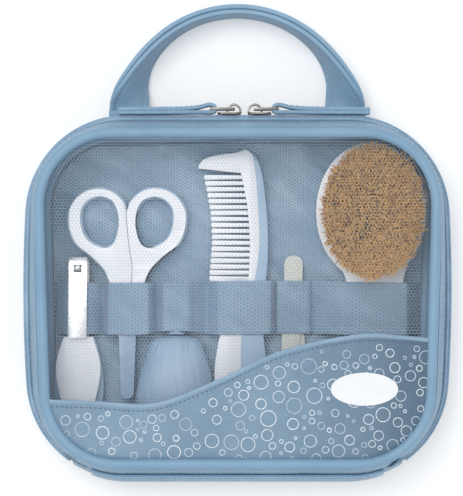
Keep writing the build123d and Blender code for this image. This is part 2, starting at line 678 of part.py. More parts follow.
def along_points(points, y):
    """The x of a chain of (x, y) points at a given y."""
    for (x0, y0), (x1, y1) in zip(points, points[1:]):
        if y <= y1:
            return lerp(x0, x1, (y - y0) / (y1 - y0))
    return points[-1][0]


def comb():
    """A fine comb with a curved white body and a soft back."""
    edges = [
        Spline(*COMB_BACK),
        ThreePointArc(COMB_BACK[-1], COMB_END, COMB_FRONT[0]),
        Spline(*COMB_FRONT),
        Line(COMB_FRONT[-1], COMB_ROOTS[0]),
        Spline(*COMB_ROOTS),
        Line(COMB_ROOTS[-1], COMB_GUARD[0]),
        Spline(*COMB_GUARD, COMB_BACK[0]),
    ]
    outline = make_face(edges)
    split = Spline(*COMB_SPLIT)
    far = COMB_BACK[0][0] + 40
    back_side = make_face([split, *Polyline(COMB_SPLIT[-1], (far, COMB_SPLIT[-1][1]),
                                            (far, COMB_SPLIT[0][1]), COMB_SPLIT[0]).edges()])
    z0, z1 = TOOL_Z, TOOL_Z + COMB_THICK
    body = slab(outline - back_side, z0, z1).solid()
    teeth = []
    middle = (z0 + z1) / 2
    for number in range(COMB_TEETH):
        y = COMB_FIRST_TOOTH + number * COMB_TOOTH_PITCH
        root = along_points(COMB_ROOTS, y) + 1.2
        tip = along_points(COMB_TIPS, y)
        thick = COMB_TOOTH_ROOT / 2
        end = COMB_TOOTH_TIP / 2
        plan = make_face(Polyline((root, y - thick), (root, y + thick), (tip + end, y + end),
                                  (tip, y), (tip + end, y - end), close=True))
        teeth.append(slab(plan, middle - COMB_TOOTH_THICK / 2, middle + COMB_TOOTH_THICK / 2))
    return {"comb_body": body.fuse(*[tooth.solid() for tooth in teeth]),
            "comb_back": slab(outline & back_side, z0, z1)}


def brush():
    """An oval brush: two-tone shell, and bristles on a slice of their pad."""
    x, y = BRUSH_X, BRUSH_Y
    wide, long = BRUSH_HEAD[0] / 2, BRUSH_HEAD[1] / 2
    head = Pos(x, y) * Ellipse(wide, long)
    neck = y - long + 8.0
    length = neck - BRUSH_HANDLE_END
    stations = ((0.0, BRUSH_NECK_HALF + 5.0), (9.0, BRUSH_NECK_HALF + 2.0),
                (30.0, BRUSH_NECK_HALF), (length * 0.7, BRUSH_HANDLE_HALF),
                (length * 0.92, BRUSH_HANDLE_HALF * 0.72))
    grip = paddle(x + BRUSH_LEAN * (y - neck), neck, BRUSH_LEAN, stations, length)
    outline = (head + grip).face()
    mid = TOOL_Z + BRUSH_THICK / 2
    top = TOOL_Z + BRUSH_THICK
    axis_low = x + BRUSH_LEAN * (y - BRUSH_HANDLE_END)
    axis_high = x + BRUSH_LEAN * (y - BAND_TOP + 2)
    right_grip = make_face(Polyline((axis_low, BRUSH_HANDLE_END - 5), (axis_high, BAND_TOP - 2),
                                    (axis_high + 60, BAND_TOP - 2),
                                    (axis_high + 60, BRUSH_HANDLE_END - 5), close=True))
    blue = slab(outline, TOOL_Z, mid).solid().fuse(slab(outline & right_grip, mid, top).solid())
    seat = Pos(x, y) * Ellipse(wide - BRUSH_RIM, long - BRUSH_RIM)
    white = slab(outline - right_grip, mid, top) - slab(seat, top - PAD_THICK, top + 1)
    pad = Pos(x, y) * Ellipse(wide - BRUSH_RIM - 0.05, long - BRUSH_RIM - 0.05)
    slice_of_pad = slab(pad, top - PAD_THICK, top).solid()
    strands = []
    golden = pi * (3 - sqrt(5))
    room = BRUSH_RIM + 1.6
    for number in range(BRISTLE_COUNT):
        share = sqrt((number + 0.5) / BRISTLE_COUNT)
        dx = (wide - room) * share * cos(number * golden)
        dy = (long - room) * share * sin(number * golden)
        foot = Pos(x + dx, y + dy, top - 0.2) * RegularPolygon(BRISTLE_RADIUS, 3)
        lean_out = Vector(dx * BRISTLE_SPLAY, dy * BRISTLE_SPLAY, BRISTLE_LENGTH)
        strands.append(Solid.extrude(foot.face(), lean_out))
    return {"brush_back": blue, "brush_body": white,
            "brush_bristles": slice_of_pad.fuse(*strands)}


def elastic_band():
    """The elastic that holds the tools: tacked between them and drawn over each."""
    rests = (
        (CLIPPER_X, ARM_WIDTH / 2, TOOL_Z + CLIPPER_RISE + BAND_ON_CLIPPER),
        (SCISSORS_X + 0.5, NECK_HALF - 0.4, PIVOT_Z + HANDLE_LAYER),
        (BULB_X, NOZZLE_SECTIONS[0][1] + 0.6, TOOL_Z + 2 * BULB_SECTIONS[-1][2]),
        ((COMB_FRONT[2][0] + COMB_BACK[4][0]) / 2 + 0.4, 11.8, TOOL_Z + COMB_THICK),
        (FILE_X, FILE_WIDTH / 2 + 2.4, TOOL_Z + len(FILE_TURNS) * (FILE_THICK + 0.05)),
        (BRUSH_X + 1.6, BRUSH_NECK_HALF + 3.6, TOOL_Z + BRUSH_THICK),
    )
    half = BAND_THICK / 2
    low = LINING_TOP + SEAM + half
    points = [(BAND_TACKS[0], low)]
    for (centre, reach, top), tack in zip(rests, BAND_TACKS[1:]):
        height = top + SOFT_GAP + half
        points.append((centre - reach - BAND_SLACK, height))
        points.append((centre + reach + BAND_SLACK, height))
        points.append((tack, low))
    profile = trace(FilletPolyline(*points, radius=0.8), BAND_THICK)
    upright = Pos(0, BAND_TOP, 0) * Rot(90, 0, 0) * profile
    return Solid.extrude(upright.face(), Vector(0, -BAND_WIDTH, 0))


def build():
    """Every sub-part by name."""
    nodes = {}
    nodes.update(base_case())
    nodes.update(lid_case())
    nodes.update(zipper())
    nodes.update(spine())
    for name, side in (("left", -1), ("right", 1)):
        nodes["slider_" + name] = slider(side)
        nodes["pull_link_" + name] = pull_link(side)
        nodes["pull_tab_" + name] = pull_tab(side)
        nodes["handle_anchor_" + name] = handle_anchor(side)
    nodes["carry_handle"] = handle()
    nodes["elastic_band"] = elastic_band()
    nodes.update(scissors())
    nodes.update(nail_clipper())
    nodes.update(nail_files())
    nodes.update(aspirator())
    nodes.update(comb())
    nodes.update(brush())
    return nodes


os.makedirs("parts", exist_ok=True)
for node, shape in build().items():
    export_step(shape, "parts/" + node + ".step")
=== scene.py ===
import bpy
import random
from contextlib import contextmanager
from math import asin, atan2, copysign, cos, degrees, dist, exp, hypot, pi, radians, sin, sqrt
import numpy as np
from mathutils import Matrix, Vector, noise


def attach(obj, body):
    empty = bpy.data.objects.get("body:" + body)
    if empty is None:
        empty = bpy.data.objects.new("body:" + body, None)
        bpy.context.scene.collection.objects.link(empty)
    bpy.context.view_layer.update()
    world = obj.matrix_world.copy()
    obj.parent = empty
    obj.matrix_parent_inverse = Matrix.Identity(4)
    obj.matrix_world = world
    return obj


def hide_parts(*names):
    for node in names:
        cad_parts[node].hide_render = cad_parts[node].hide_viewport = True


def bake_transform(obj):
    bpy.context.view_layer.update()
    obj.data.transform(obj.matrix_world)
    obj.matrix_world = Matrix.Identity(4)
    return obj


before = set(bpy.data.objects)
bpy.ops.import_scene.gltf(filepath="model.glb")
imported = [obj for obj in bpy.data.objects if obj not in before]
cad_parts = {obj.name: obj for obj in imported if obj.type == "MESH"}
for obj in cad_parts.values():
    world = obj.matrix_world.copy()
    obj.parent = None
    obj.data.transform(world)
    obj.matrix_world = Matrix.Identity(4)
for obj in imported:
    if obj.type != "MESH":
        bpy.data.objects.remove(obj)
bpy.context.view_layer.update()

# Lengths are in millimetres until they are put on the meshes in metres.
MM = 0.001

# Case outline, as the solids have it: panels at share 0, zipper plane at share 1.
TOP_WIDTH = (190.0, 193.0)
BOTTOM_WIDTH = (180.5, 191.0)
HEIGHT = (158.0, 172.0)
CORNER = (36.0, 48.0)
BULGE = (0.4, 5.0)
ARC_STEPS = 32
ZIP_Z = 24.0
CASE_DEPTH = 45.5
WALL_INSET = 1.05
PIPING_RADIUS = 2.5
SPINE_HALF = 68.5
SPINE_REACH = 11.0
SPINE_THICK = 1.0
SPINE_STITCH = 8.2
END_TAB = 9.0
END_TAB_REACH = 6.0

# Side walls: where each one starts and ends above the table, and its sewn line.
WALLS = (("base", 4.4, 15.4, 14.2), ("lid", 32.4, 41.0, 33.7))
WALL_COUNT = 400

# Zipper.
TAPE_FROM, TAPE_TO = 1.75, 9.5
BEAD_RADIUS = 0.7
TOOTH_SIZE = (0.74, 2.9, 2.1)
TOOTH_PITCH = 1.25

# Lining, net and printed panel. Each size of ring has its least and greatest radius and how
# many there are.
LINING_TOP = 4.8
NET_PITCH = 1.62
NET_THREAD = 0.115
NET_THICK = 0.11
NET_Z = 43.25
PANEL_Z = 44.25
PANEL_FLAT_HALF = 92.5
POCKET_LINE = ((-100.0, -46.2), (-66.0, -47.6), (-38.0, -48.4), (-10.0, -38.0),
               (20.0, -24.4), (54.0, -17.0), (76.0, -17.4), (100.0, -20.0))
RING_SIZES = ((2.5, 3.6, 30), (1.7, 2.4, 34), (1.1, 1.6, 40), (0.6, 1.0, 46))
RING_STRENGTHS = (0.45, 0.6, 0.8, 1.0)
RING_FIELD = ((-88, 88), (-75, -18))
RING_GAP = 0.9
RING_SEED, STRAND_SEED = 20, 41
PATCH_HALVES = (15.5, 7.6)
PATCH_CENTRE = (58.4, -41.8)

# Handle: half its span, how far it rises, its section and where its legs stand.
STRAP_HALF_SPAN, STRAP_RISE = 51.7, 49.0
STRAP_WIDTH, STRAP_THICK, STRAP_END_THICK = 19.3, 4.8, 2.4
STRAP_TWIST = 15.0
STRAP_FOOT_Y = 87.5
STRAP_Z = hypot(STRAP_WIDTH, STRAP_THICK) / 2 + 0.02
STRAP_STATIONS = 72

# Pull tabs: where their loops stand beside the sliders, and the folded strip, along and across.
SLIDERS_MIDDLE, LOOP_REACH = 3.25, 15.75
PULL_Y = 88.6
PULL_HALF_WIDTH = 3.55
PULL_THICK = 1.7
PULL_KNOTS = ((43.4, -0.15), (30, -0.05), (14, 0.15), (6.5, 0.7), (2.4, 1.75), (0, 2.05),
              (-1.9, 1.2), (-2.2, 0.1), (-1.8, -1.0), (0, -1.5), (2.4, -1.5), (6.5, -1.45),
              (14, -1.55), (30, -1.7), (43.4, -1.75))

# Elastic band: centre, half width and top of each tool it crosses, and where it is sewn down.
BAND_RESTS = ((-75.8, 5.0, 13.3), (-52.1, 8.8, 14.3), (-29.4, 5.2, 14.3), (3.4, 11.8, 12.5),
              (26.9, 6.8, 7.95), (65.2, 14.8, 16.5))
BAND_TACKS = (-86.6, -64.7, -39.2, -15.0, 18.3, 36.2, 86.6)
BAND_LOW = LINING_TOP + 0.55
BAND_BOTTOM, BAND_TOP = -18.0, 7.0
BULB_X = -29.4

# Scissors handles: the right ring's outer edge and hole measured from the pivot's line, and the
# parting line's shift from that line, all with the height in the picture second.
TOOL_Z = 5.1
SCISSORS_X = -52.6
HALF_GAP = 0.12
BLUE_TOP, WHITE_FROM, WHITE_TOP = 9.65, 9.7, 14.3
RING_EDGE = ((0.35, 41.6), (1.8, 45.2), (5.0, 48.7), (9.4, 51.0), (14.2, 51.5), (19.2, 50.5),
             (24.0, 47.2), (27.1, 42.4), (28.0, 38.0), (27.4, 31.8), (25.6, 27.1), (22.9, 23.6),
             (18.4, 20.3), (14.1, 16.4), (10.7, 12.6), (9.2, 9.3), (8.2, 6.0), (7.3, 2.0),
             (6.2, -1.2))
RING_HOLE = ((13.1, 47.9), (17.9, 46.4), (21.4, 42.5), (22.3, 37.8), (21.4, 31.8), (18.8, 27.1),
             (14.3, 24.1), (9.8, 23.3), (6.5, 25.3), (4.8, 29.5), (3.9, 35.4), (4.8, 41.4),
             (7.7, 46.1))
PARTING = ((0.0, -2.4), (1.6, 2.0), (2.2, 7.4), (2.4, 12.0), (2.3, 16.4), (1.2, 22.3),
           (0.2, 31.8), (-0.5, 41.6))

# Comb: where the teeth leave the back, and their spacing.
COMB_ROOTS = ((5.2, 8.0), (6.0, 26.0), (5.0, 41.0), (1.6, 59.0))
FIRST_TOOTH, COMB_PITCH, LAST_TOOTH = 8.6, 2.85, 17
TEETH_FROM, TEETH_TO = 7.0, 58.6
TOOTH_WIDER, TOOTH_HALF = 2.6, 1.25

# Brush: the pad's centre and the reach of the strands' feet.
BRUSH_X, BRUSH_Y = 63.6, 40.4
FEET_WIDE, FEET_LONG = 21.95, 28.8
FEET_Z = TOOL_Z + 11.1
PAD_HALVES = (22.2, 29.1, 1.6)
PAD_Z = TOOL_Z + 10.2
STRANDS = 9600
STRAND_LENGTH = 14.3
STRAND_LEAN = 0.095
STRAND_LEVELS = ((0.0, 0.28), (0.6, 0.27), (1.0, 0.24))

# Camera and light, in metres: each lamp's name, place, size and power.
CAMERA_PLACE = (-0.0028, 0.0232, 0.9)
CAMERA_LENS, CAMERA_SENSOR = 134.9, 36.0
LAMPS = (("key", (-0.28, 0.36, 1.2), 0.7, 6.6), ("fill", (0.75, -0.75, 0.95), 1.2, 2.6))
SKY_COLOUR, SKY_STRENGTH = (0.99, 0.995, 1.0, 1.0), 0.66


# Meshes.

def lerp(a, b, t):
    """The value a share t of the way from a to b."""
    return a + (b - a) * t


def wobble(x, y, z, size):
    """Smooth noise from about -1 to 1 with features of a given size."""
    return noise.noise(Vector((x / size, y / size, z / size)))


def added(name, data):
    """A new object in the scene."""
    piece = bpy.data.objects.new(name, data)
    bpy.context.scene.collection.objects.link(piece)
    return piece


def activate(piece):
    """Makes a piece the only selected and the active one."""
    bpy.ops.object.select_all(action="DESELECT")
    piece.select_set(True)
    bpy.context.view_layer.objects.active = piece


@contextmanager
def editing(piece):
    """Edit mode with all of a piece selected, and object mode again afterwards."""
    activate(piece)
    bpy.ops.object.mode_set(mode="EDIT")
    bpy.ops.mesh.select_all(action="SELECT")
    yield
    bpy.ops.object.mode_set(mode="OBJECT")


def finish_with(piece, kind, **settings):
    """Adds a modifier and applies it."""
    activate(piece)
    modifier = piece.modifiers.new(kind.title(), kind)
    for name, value in settings.items():
        setattr(modifier, name, value)
    bpy.ops.object.modifier_apply(modifier=modifier.name)


def thickened(piece, thickness, offset=-1.0, **settings):
    """Gives a sheet its thickness in millimetres, behind it or on both sides."""
    finish_with(piece, "SOLIDIFY", thickness=thickness * MM, offset=offset, **settings)


def bevelled(piece, width, segments, angle):
    """Rounds a piece's edges that are sharper than an angle."""
    finish_with(piece, "BEVEL", width=width * MM, segments=segments, limit_method="ANGLE",
                angle_limit=radians(angle))


def metres(*lengths):
    """Lengths in millimetres as metres."""
    return [length * MM for length in lengths]


def settled(piece, angle, material, body=None, nodes=()):
    """A finished piece: shaded smooth up to an angle, with its material, riding on its body
    and standing for its CAD nodes."""
    if angle:
        activate(piece)
        bpy.ops.object.shade_smooth_by_angle(angle=radians(angle))
    piece.data.materials.clear()
    piece.data.materials.append(material)
    if body:
        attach(piece, body)
    if nodes:
        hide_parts(*nodes)
    return piece


def piece_from(name, points, faces, lengths=None):
    """A mesh object from points in millimetres, with a UV map in metres if lengths are given."""
    mesh = bpy.data.meshes.new(name)
    mesh.from_pydata([metres(*p) for p in points], [], faces)
    if lengths is not None:
        layer = mesh.uv_layers.new(name="UVMap")
        for loop in mesh.loops:
            layer.data[loop.index].uv = metres(*lengths[loop.vertex_index])
    mesh.validate()
    return added(name, mesh)


def grid_piece(name, rows, closed=False, capped=False):
    """A sheet through rows of points; closed joins each row's ends, capped fills the first and
    the last row."""
    count = len(rows[0])
    points = [p for row in rows for p in row]
    faces = []
    for r in range(len(rows) - 1):
        for c in range(count if closed else count - 1):
            a, b = r * count + c, r * count + (c + 1) % count
            faces.append((a, b, b + count, a + count))
    if capped:
        faces.append(tuple(range(count))[::-1])
        faces.append(tuple(range((len(rows) - 1) * count, len(rows) * count)))
    middle = rows[len(rows) // 2]
    along = [0.0]
    for a, b in zip(middle, middle[1:]):
        along.append(along[-1] + dist(a, b))
    lengths, across = [], 0.0
    for r, row in enumerate(rows):
        if r:
            across += dist(row[count // 2], rows[r - 1][count // 2])
        lengths += [(u, across) for u in along]
    return piece_from(name, points, faces, lengths)


def faces_out(piece):
    """A closed mesh with its doubles merged and its normals recalculated."""
    with editing(piece):
        bpy.ops.mesh.remove_doubles(threshold=0.002 * MM)
        bpy.ops.mesh.normals_make_consistent(inside=False)
    return piece


def per_point(piece, name, values):
    """Puts one number on each point, for a material to read."""
    layer = piece.data.attributes.new(name, "FLOAT", "POINT")
    layer.data.foreach_set("value", values)


def copies(name, pattern, places):
    """One piece made of copies of a small pattern mesh, each at its own matrix. The pattern is
    removed."""
    base = np.array([v.co for v in pattern.data.vertices], float)
    polygons = [tuple(p.vertices) for p in pattern.data.polygons]
    points, faces = [], []
    for number, place in enumerate(places):
        m = np.array(place, float)
        points.append(base @ m[:3, :3].T + m[:3, 3])
        shift = number * len(base)
        faces += [tuple(v + shift for v in p) for p in polygons]
    mesh = bpy.data.meshes.new(name)
    mesh.from_pydata(np.concatenate(points).tolist(), [], faces)
    piece = added(name, mesh)
    bpy.data.objects.remove(pattern)
    return piece


def joined(name, pieces):
    """Several pieces as one."""
    activate(pieces[0])
    for piece in pieces:
        piece.select_set(True)
    bpy.ops.object.join()
    pieces[0].name = name
    return pieces[0]


def at(point, along, up):
    """The matrix that stands a pattern at a point in millimetres, its X along and its Z up."""
    x = Vector(along).normalized()
    y = Vector(up).cross(x).normalized()
    z = x.cross(y)
    m = Matrix((x, y, z)).transposed().to_4x4()
    m.translation = Vector(point) * MM
    return m


def stitch_pattern(length=1.9, width=0.5, height=0.32):
    """One sewn stitch: a short bowed capsule."""
    bpy.ops.mesh.primitive_uv_sphere_add(segments=8, ring_count=5, radius=0.5 * MM)
    stitch = bpy.context.object
    with editing(stitch):
        bpy.ops.transform.rotate(value=pi / 2, orient_axis="Y", center_override=(0, 0, 0))
        bpy.ops.transform.resize(value=(length, width, height), center_override=(0, 0, 0))
    return stitch


def sewn(name, runs, pitch, colour, body, **size):
    """Stitches along runs of (point, surface normal) pairs, in millimetres."""
    places = []
    for run in runs:
        travelled, due = 0.0, pitch / 2
        for (a, up_a), (b, _) in zip(run, run[1:]):
            step = dist(a, b)
            while travelled + step >= due and step > 0:
                t = (due - travelled) / step
                point = tuple(lerp(p, q, t) for p, q in zip(a, b))
                along = tuple(q - p for p, q in zip(a, b))
                places.append(at(point, along, up_a))
                due += pitch
            travelled += step
    return settled(copies(name, stitch_pattern(**size), places), 80, colour, body)


# Lines and outlines.

def smooth_through(knots, steps):
    """Points on a smooth line through knots, any number of coordinates each."""
    knots = [np.array(k, float) for k in knots]
    points = []
    for i in range(len(knots) - 1):
        p1, p2 = knots[i], knots[i + 1]
        p0 = knots[i - 1] if i else 2 * p1 - p2
        p3 = knots[i + 2] if i + 2 < len(knots) else 2 * p2 - p1
        for s in range(steps):
            t = s / steps
            points.append(0.5 * (2 * p1 + (p2 - p0) * t + (2 * p0 - 5 * p1 + 4 * p2 - p3) * t ** 2
                                 + (3 * p1 - p0 - 3 * p2 + p3) * t ** 3))
    points.append(knots[-1])
    return [tuple(p) for p in points]


def evenly(points, count):
    """Points resampled to an even spacing along their line."""
    points = np.array(points, float)
    runs = np.concatenate([[0], np.cumsum(np.linalg.norm(np.diff(points, axis=0), axis=1))])
    wanted = np.linspace(0, runs[-1], count)
    return [tuple(p) for p in np.stack([np.interp(wanted, runs, points[:, k])
                                        for k in range(points.shape[1])], axis=1)]


def between(value, line, given=0, sought=1):
    """One coordinate of a line of points where another has a value. The line's given coordinate
    rises all along it."""
    return float(np.interp(value, [p[given] for p in line], [p[sought] for p in line]))


def half_outline(share, grow):
    """The right half of the case outline from the top middle down to the bottom middle."""
    ht = lerp(*TOP_WIDTH, share) / 2 + grow
    hb = lerp(*BOTTOM_WIDTH, share) / 2 + grow
    hh = lerp(*HEIGHT, share) / 2 + grow
    r = lerp(*CORNER, share) + grow
    middle = (ht + hb) / 2 + lerp(*BULGE, share)
    # The circle through the two corners and the middle of the side.
    low, up = complex(hb, -hh), complex(ht, hh)
    w = (up - low) / (middle - low)
    centre = low + (middle - low) * (w - abs(w) ** 2) / (2j * w.imag)
    ux, uy, big = centre.real, centre.imag, abs(middle - centre)
    tx = ux + sqrt((big - r) ** 2 - (hh - r - uy) ** 2)
    lx = ux + sqrt((big - r) ** 2 - (-hh + r - uy) ** 2)
    top_turn = atan2(hh - r - uy, tx - ux)
    low_turn = atan2(-hh + r - uy, lx - ux)
    points = [(0.0, hh)]
    for x, y, radius, turn_from, turn_to, first, past in (
            (tx, hh - r, r, pi / 2, top_turn, 0, ARC_STEPS + 1),
            (ux, uy, big, top_turn, low_turn, 1, ARC_STEPS),
            (lx, -hh + r, r, low_turn, -pi / 2, 0, ARC_STEPS + 1)):
        for k in range(first, past):
            a = lerp(turn_from, turn_to, k / ARC_STEPS)
            points.append((x + radius * cos(a), y + radius * sin(a)))
    points.append((0.0, -hh))
    return points


def case_loop(share, grow, count):
    """Points evenly round the case outline, clockwise from the top middle."""
    right = half_outline(share, grow)
    loop = right + [(-x, y) for x, y in reversed(right[1:-1])] + [right[0]]
    return evenly(loop, count + 1)[:-1]


def wall_share(z):
    """How far a height lies from its panel towards the zipper plane."""
    return z / ZIP_Z if z <= ZIP_Z else (CASE_DEPTH - z) / (CASE_DEPTH - ZIP_Z)


def half_height_at(z):
    """Half the case's height in the picture at a depth."""
    return lerp(*HEIGHT, wall_share(z)) / 2 - WALL_INSET


def half_width(profile, y):
    """Half the width of a half outline at a height in the picture."""
    return between(y, profile[::-1], 1, 0)


def low_rise(x, z):
    """How far the case's lower edge has turned up towards its corner."""
    edge = half_outline(wall_share(z), 0)[-ARC_STEPS - 2:][::-1]
    return between(abs(x), edge) - edge[0][1]


def outward(loop, i):
    """The outward direction of a clockwise loop at one of its points."""
    a, b = loop[i - 1], loop[(i + 1) % len(loop)]
    n = Vector((-(b[1] - a[1]), b[0] - a[0], 0)).normalized()
    return n if n.dot(Vector((loop[i][0], loop[i][1], 0))) > 0 else -n


def moved_out(points, reach):
    """A closed outline moved outwards, or inwards below zero."""
    area = sum(a[0] * b[1] - b[0] * a[1] for a, b in zip(points, points[1:] + points[:1]))
    reach = reach if area > 0 else -reach
    moved = []
    for k, (x, y) in enumerate(points):
        a, b = points[k - 1], points[(k + 1) % len(points)]
        along = dist(a, b) or 1.0
        moved.append((x + reach * (b[1] - a[1]) / along, y - reach * (b[0] - a[0]) / along))
    return moved


POCKET = smooth_through(POCKET_LINE, 24)
PANEL_PROFILE = half_outline(0, -3.6)
PANEL_BOTTOM = [p for p in PANEL_PROFILE if p[1] < -10][::-1]


def pocket_y(x):
    """The wavy top edge of the printed panel."""
    return between(x, POCKET)


def panel_low(x):
    """The lower edge of the printed panel, just inside the piping."""
    return between(abs(x), PANEL_BOTTOM)


def panel_height(x, y):
    """The height of the printed cloth: nearly flat, with soft ripples, and drawn down along the
    piping."""
    edge = min(y - panel_low(x), PANEL_FLAT_HALF - abs(x))
    drop = 1.3 * exp(-max(0.0, edge - 1.4) / 1.3)
    return PANEL_Z - drop + 0.22 * wobble(x, y * 1.6, 3.0, 19) + 0.08 * wobble(x, y, 8.0, 7)


# Finishes.

def linear(r, g, b):
    """A screen colour, 0 to 255, as linear light."""
    channels = [c / 255 for c in (r, g, b)]
    return tuple(c / 12.92 if c <= 0.04045 else ((c + 0.055) / 1.055) ** 2.4
                 for c in channels) + (1.0,)


def scaled(colour, share):
    """A linear colour made darker or lighter."""
    return tuple(min(1.0, c * share) for c in colour[:3]) + (1.0,)


class Finish:
    """A material under way: its nodes and its one surface shader."""

    def __init__(self, name, **surface):
        self.material = bpy.data.materials.new(name)
        self.material.use_nodes = True
        self.tree = self.material.node_tree
        self.surface = self.tree.nodes["Principled BSDF"]
        for socket, value in surface.items():
            self.surface.inputs[socket.replace("_", " ")].default_value = value

    def node(self, kind, inputs=None, **settings):
        """A node with its inputs set or linked."""
        made = self.tree.nodes.new("ShaderNode" + kind)
        for name, value in settings.items():
            setattr(made, name, value)
        for key, value in (inputs or {}).items():
            if isinstance(value, bpy.types.NodeSocket):
                self.tree.links.new(value, made.inputs[key])
            else:
                made.inputs[key].default_value = value
        return made

    def place(self, uv=False):
        """Object coordinates in metres, or the piece's own map."""
        return self.node("TexCoord").outputs["UV" if uv else "Object"]

    def mapped(self, where, **mapping):
        """Coordinates turned or stretched."""
        return self.node("Mapping", {"Vector": where, **mapping}).outputs["Vector"]

    def along(self, where, way):
        """How far coordinates lie along a direction."""
        return self.node("VectorMath", {0: where, 1: way},
                         operation="DOT_PRODUCT").outputs["Value"]

    def axis(self, where, letter):
        """One coordinate."""
        return self.node("SeparateXYZ", {"Vector": where}).outputs[letter]

    def own(self, name):
        """The number that the piece's points carry under a name."""
        return self.node("Attribute", attribute_name=name).outputs["Fac"]

    def noise(self, where, size, detail=3.0, roughness=0.55):
        """Noise with features of a size in millimetres."""
        return self.node("TexNoise", {"Vector": where, "Scale": 1 / (size * MM), "Detail": detail,
                                      "Roughness": roughness}).outputs["Fac"]

    def cells(self, where, size, feature="F1"):
        """Cell pattern with cells of a size in millimetres."""
        return self.node("TexVoronoi", {"Vector": where, "Scale": 1 / (size * MM)},
                         feature=feature).outputs["Distance"]

    def maths(self, operation, a, b=0.0, c=0.0):
        """One arithmetic step."""
        return self.node("Math", {0: a, 1: b, 2: c}, operation=operation).outputs[0]

    def span(self, value, low, high, to_low=0.0, to_high=1.0):
        """A value moved from one range to another, kept inside it."""
        return self.node("MapRange", {"Value": value, "From Min": low, "From Max": high,
                                      "To Min": to_low, "To Max": to_high}).outputs["Result"]

    def blend(self, share, a, b):
        """Two colours mixed, each a socket, linear light or the three numbers of a screen
        colour."""
        a, b = (linear(*c) if isinstance(c, tuple) and len(c) == 3 else c for c in (a, b))
        return self.node("Mix", {0: share, 6: a, 7: b}, data_type="RGBA").outputs[2]

    def bump(self, height, depth, below=None):
        """A bump of a depth in millimetres."""
        inputs = {"Height": height, "Distance": depth * MM, "Strength": 1.0}
        if below is not None:
            inputs["Normal"] = below
        return self.node("Bump", inputs).outputs["Normal"]

    def done(self, colour=None, roughness=None, normal=None):
        """Links what varies to the shader."""
        for socket, value in (("Base Color", colour), ("Roughness", roughness),
                              ("Normal", normal)):
            if value is not None:
                self.tree.links.new(value, self.surface.inputs[socket])
        return self.material


def honeycomb(f, where, pitch):
    """A height that is high in the middle of honeycomb cells and low on their threads."""
    step = 2 * pi / (pitch * MM * sqrt(3) / 2)
    total = None
    for turn in (0, 60, 120):
        a = radians(turn)
        wave = f.maths("COSINE", f.along(where, (step * cos(a), step * sin(a), 0.0)))
        total = wave if total is None else f.maths("ADD", total, wave)
    return total


def leatherette(name, dark, light, grain=0.9, depth=0.035, rough=(0.42, 0.56)):
    """Grained coated cloth with faint cloudiness, fine creases and paler edges."""
    f = Finish(name, Specular_IOR_Level=0.32)
    where = f.place()
    cloudy = f.blend(f.span(f.noise(where, 26, 4), 0.3, 0.7), dark, light)
    edge = f.span(f.node("NewGeometry").outputs["Pointiness"], 0.51, 0.58, 0.0, 0.35)
    normal = f.bump(f.span(f.noise(where, 7, 5, 0.7), 0.46, 0.54), depth * 1.3)
    normal = f.bump(f.cells(where, grain, "SMOOTH_F1"), depth, normal)
    normal = f.bump(f.noise(where, 0.35, 2), depth * 0.4, normal)
    roughness = f.span(f.noise(where, 3.0, 3), 0.3, 0.7, *rough)
    return f.done(f.blend(edge, cloudy, scaled(linear(*light), 1.35)), roughness, normal)


def woven(name, dark, light, pitch):
    """Ribbed woven tape with crossing threads."""
    f = Finish(name, Roughness=0.8, Specular_IOR_Level=0.25, Sheen_Weight=0.2)
    where = f.place(uv=True)
    turns = 2 * pi / (pitch * MM)
    weave = f.maths("MULTIPLY", f.maths("SINE", f.along(where, (turns, 0, 0))),
                    f.maths("SINE", f.along(where, (0, turns, turns))))
    worn = f.span(f.noise(where, 5, 3), 0.2, 0.8, 0.5, 1)
    share = f.maths("MULTIPLY", f.span(weave, -1, 1), worn)
    return f.done(f.blend(share, dark, light), None, f.bump(weave, 0.08))


def mesh_cloth(name, dark, light, pitch, uv=False, depth=0.1, wrinkle=0.0):
    """Cloth with a honeycomb knit, lighter on its threads, with painted shade in its creases when
    it is wrinkled.
    """
    f = Finish(name, Specular_IOR_Level=0.3, Sheen_Weight=0.25, Sheen_Roughness=0.4)
    where = f.place(uv)
    threads = f.span(honeycomb(f, where, pitch), 0.3, -1.3)
    cloud = f.span(f.noise(where, 14, 4), 0.25, 0.75, 0.0, 0.45)
    share = f.maths("MULTIPLY_ADD", threads, 0.55, cloud)
    normal = None
    if wrinkle:
        turned = f.mapped(where, Rotation=(0.0, 0.0, 0.6))
        crease = f.noise(f.mapped(turned, Scale=(0.3, 1.0, 1.0)), 11, 2)
        normal = f.bump(crease, wrinkle)
        # Painted shade: the colour is darkened in the valleys of the creases.
        share = f.maths("MULTIPLY", share, f.span(crease, 0.36, 0.6, 0.45, 1.1))
    normal = f.bump(threads, depth, normal)
    normal = f.bump(f.noise(where, 0.3, 1), depth * 0.4, normal)
    return f.done(f.blend(share, dark, light), f.span(threads, 0, 1, 0.75, 0.58), normal)


def satin(name):
    """Satin cloth with a fine weave and soft ripples, with painted shade darkening it towards the
    right side.
    """
    f = Finish(name, Specular_IOR_Level=0.5, Sheen_Weight=0.25, Sheen_Roughness=0.35)
    where = f.place()
    cloud = f.span(f.noise(where, 34, 3), 0.3, 0.7)
    cloth = f.blend(cloud, (98, 127, 150), (120, 149, 172))
    fleck = f.span(f.noise(where, 0.55, 2, 0.8), 0.35, 0.65)
    cloth = f.blend(f.maths("MULTIPLY", fleck, 0.3), cloth, (160, 186, 206))
    # Painted shade: the cloth colour is mixed towards dark blue over the right side of the panel.
    edge = f.span(f.axis(where, "X"), 0.03, 0.095, 0.0, 0.75)
    cloth = f.blend(edge, cloth, (44, 70, 94))
    normal = f.bump(f.noise(where, 11, 3), 0.25)
    return f.done(cloth, f.span(fleck, 0, 1, 0.42, 0.56), f.bump(fleck, 0.03, normal))


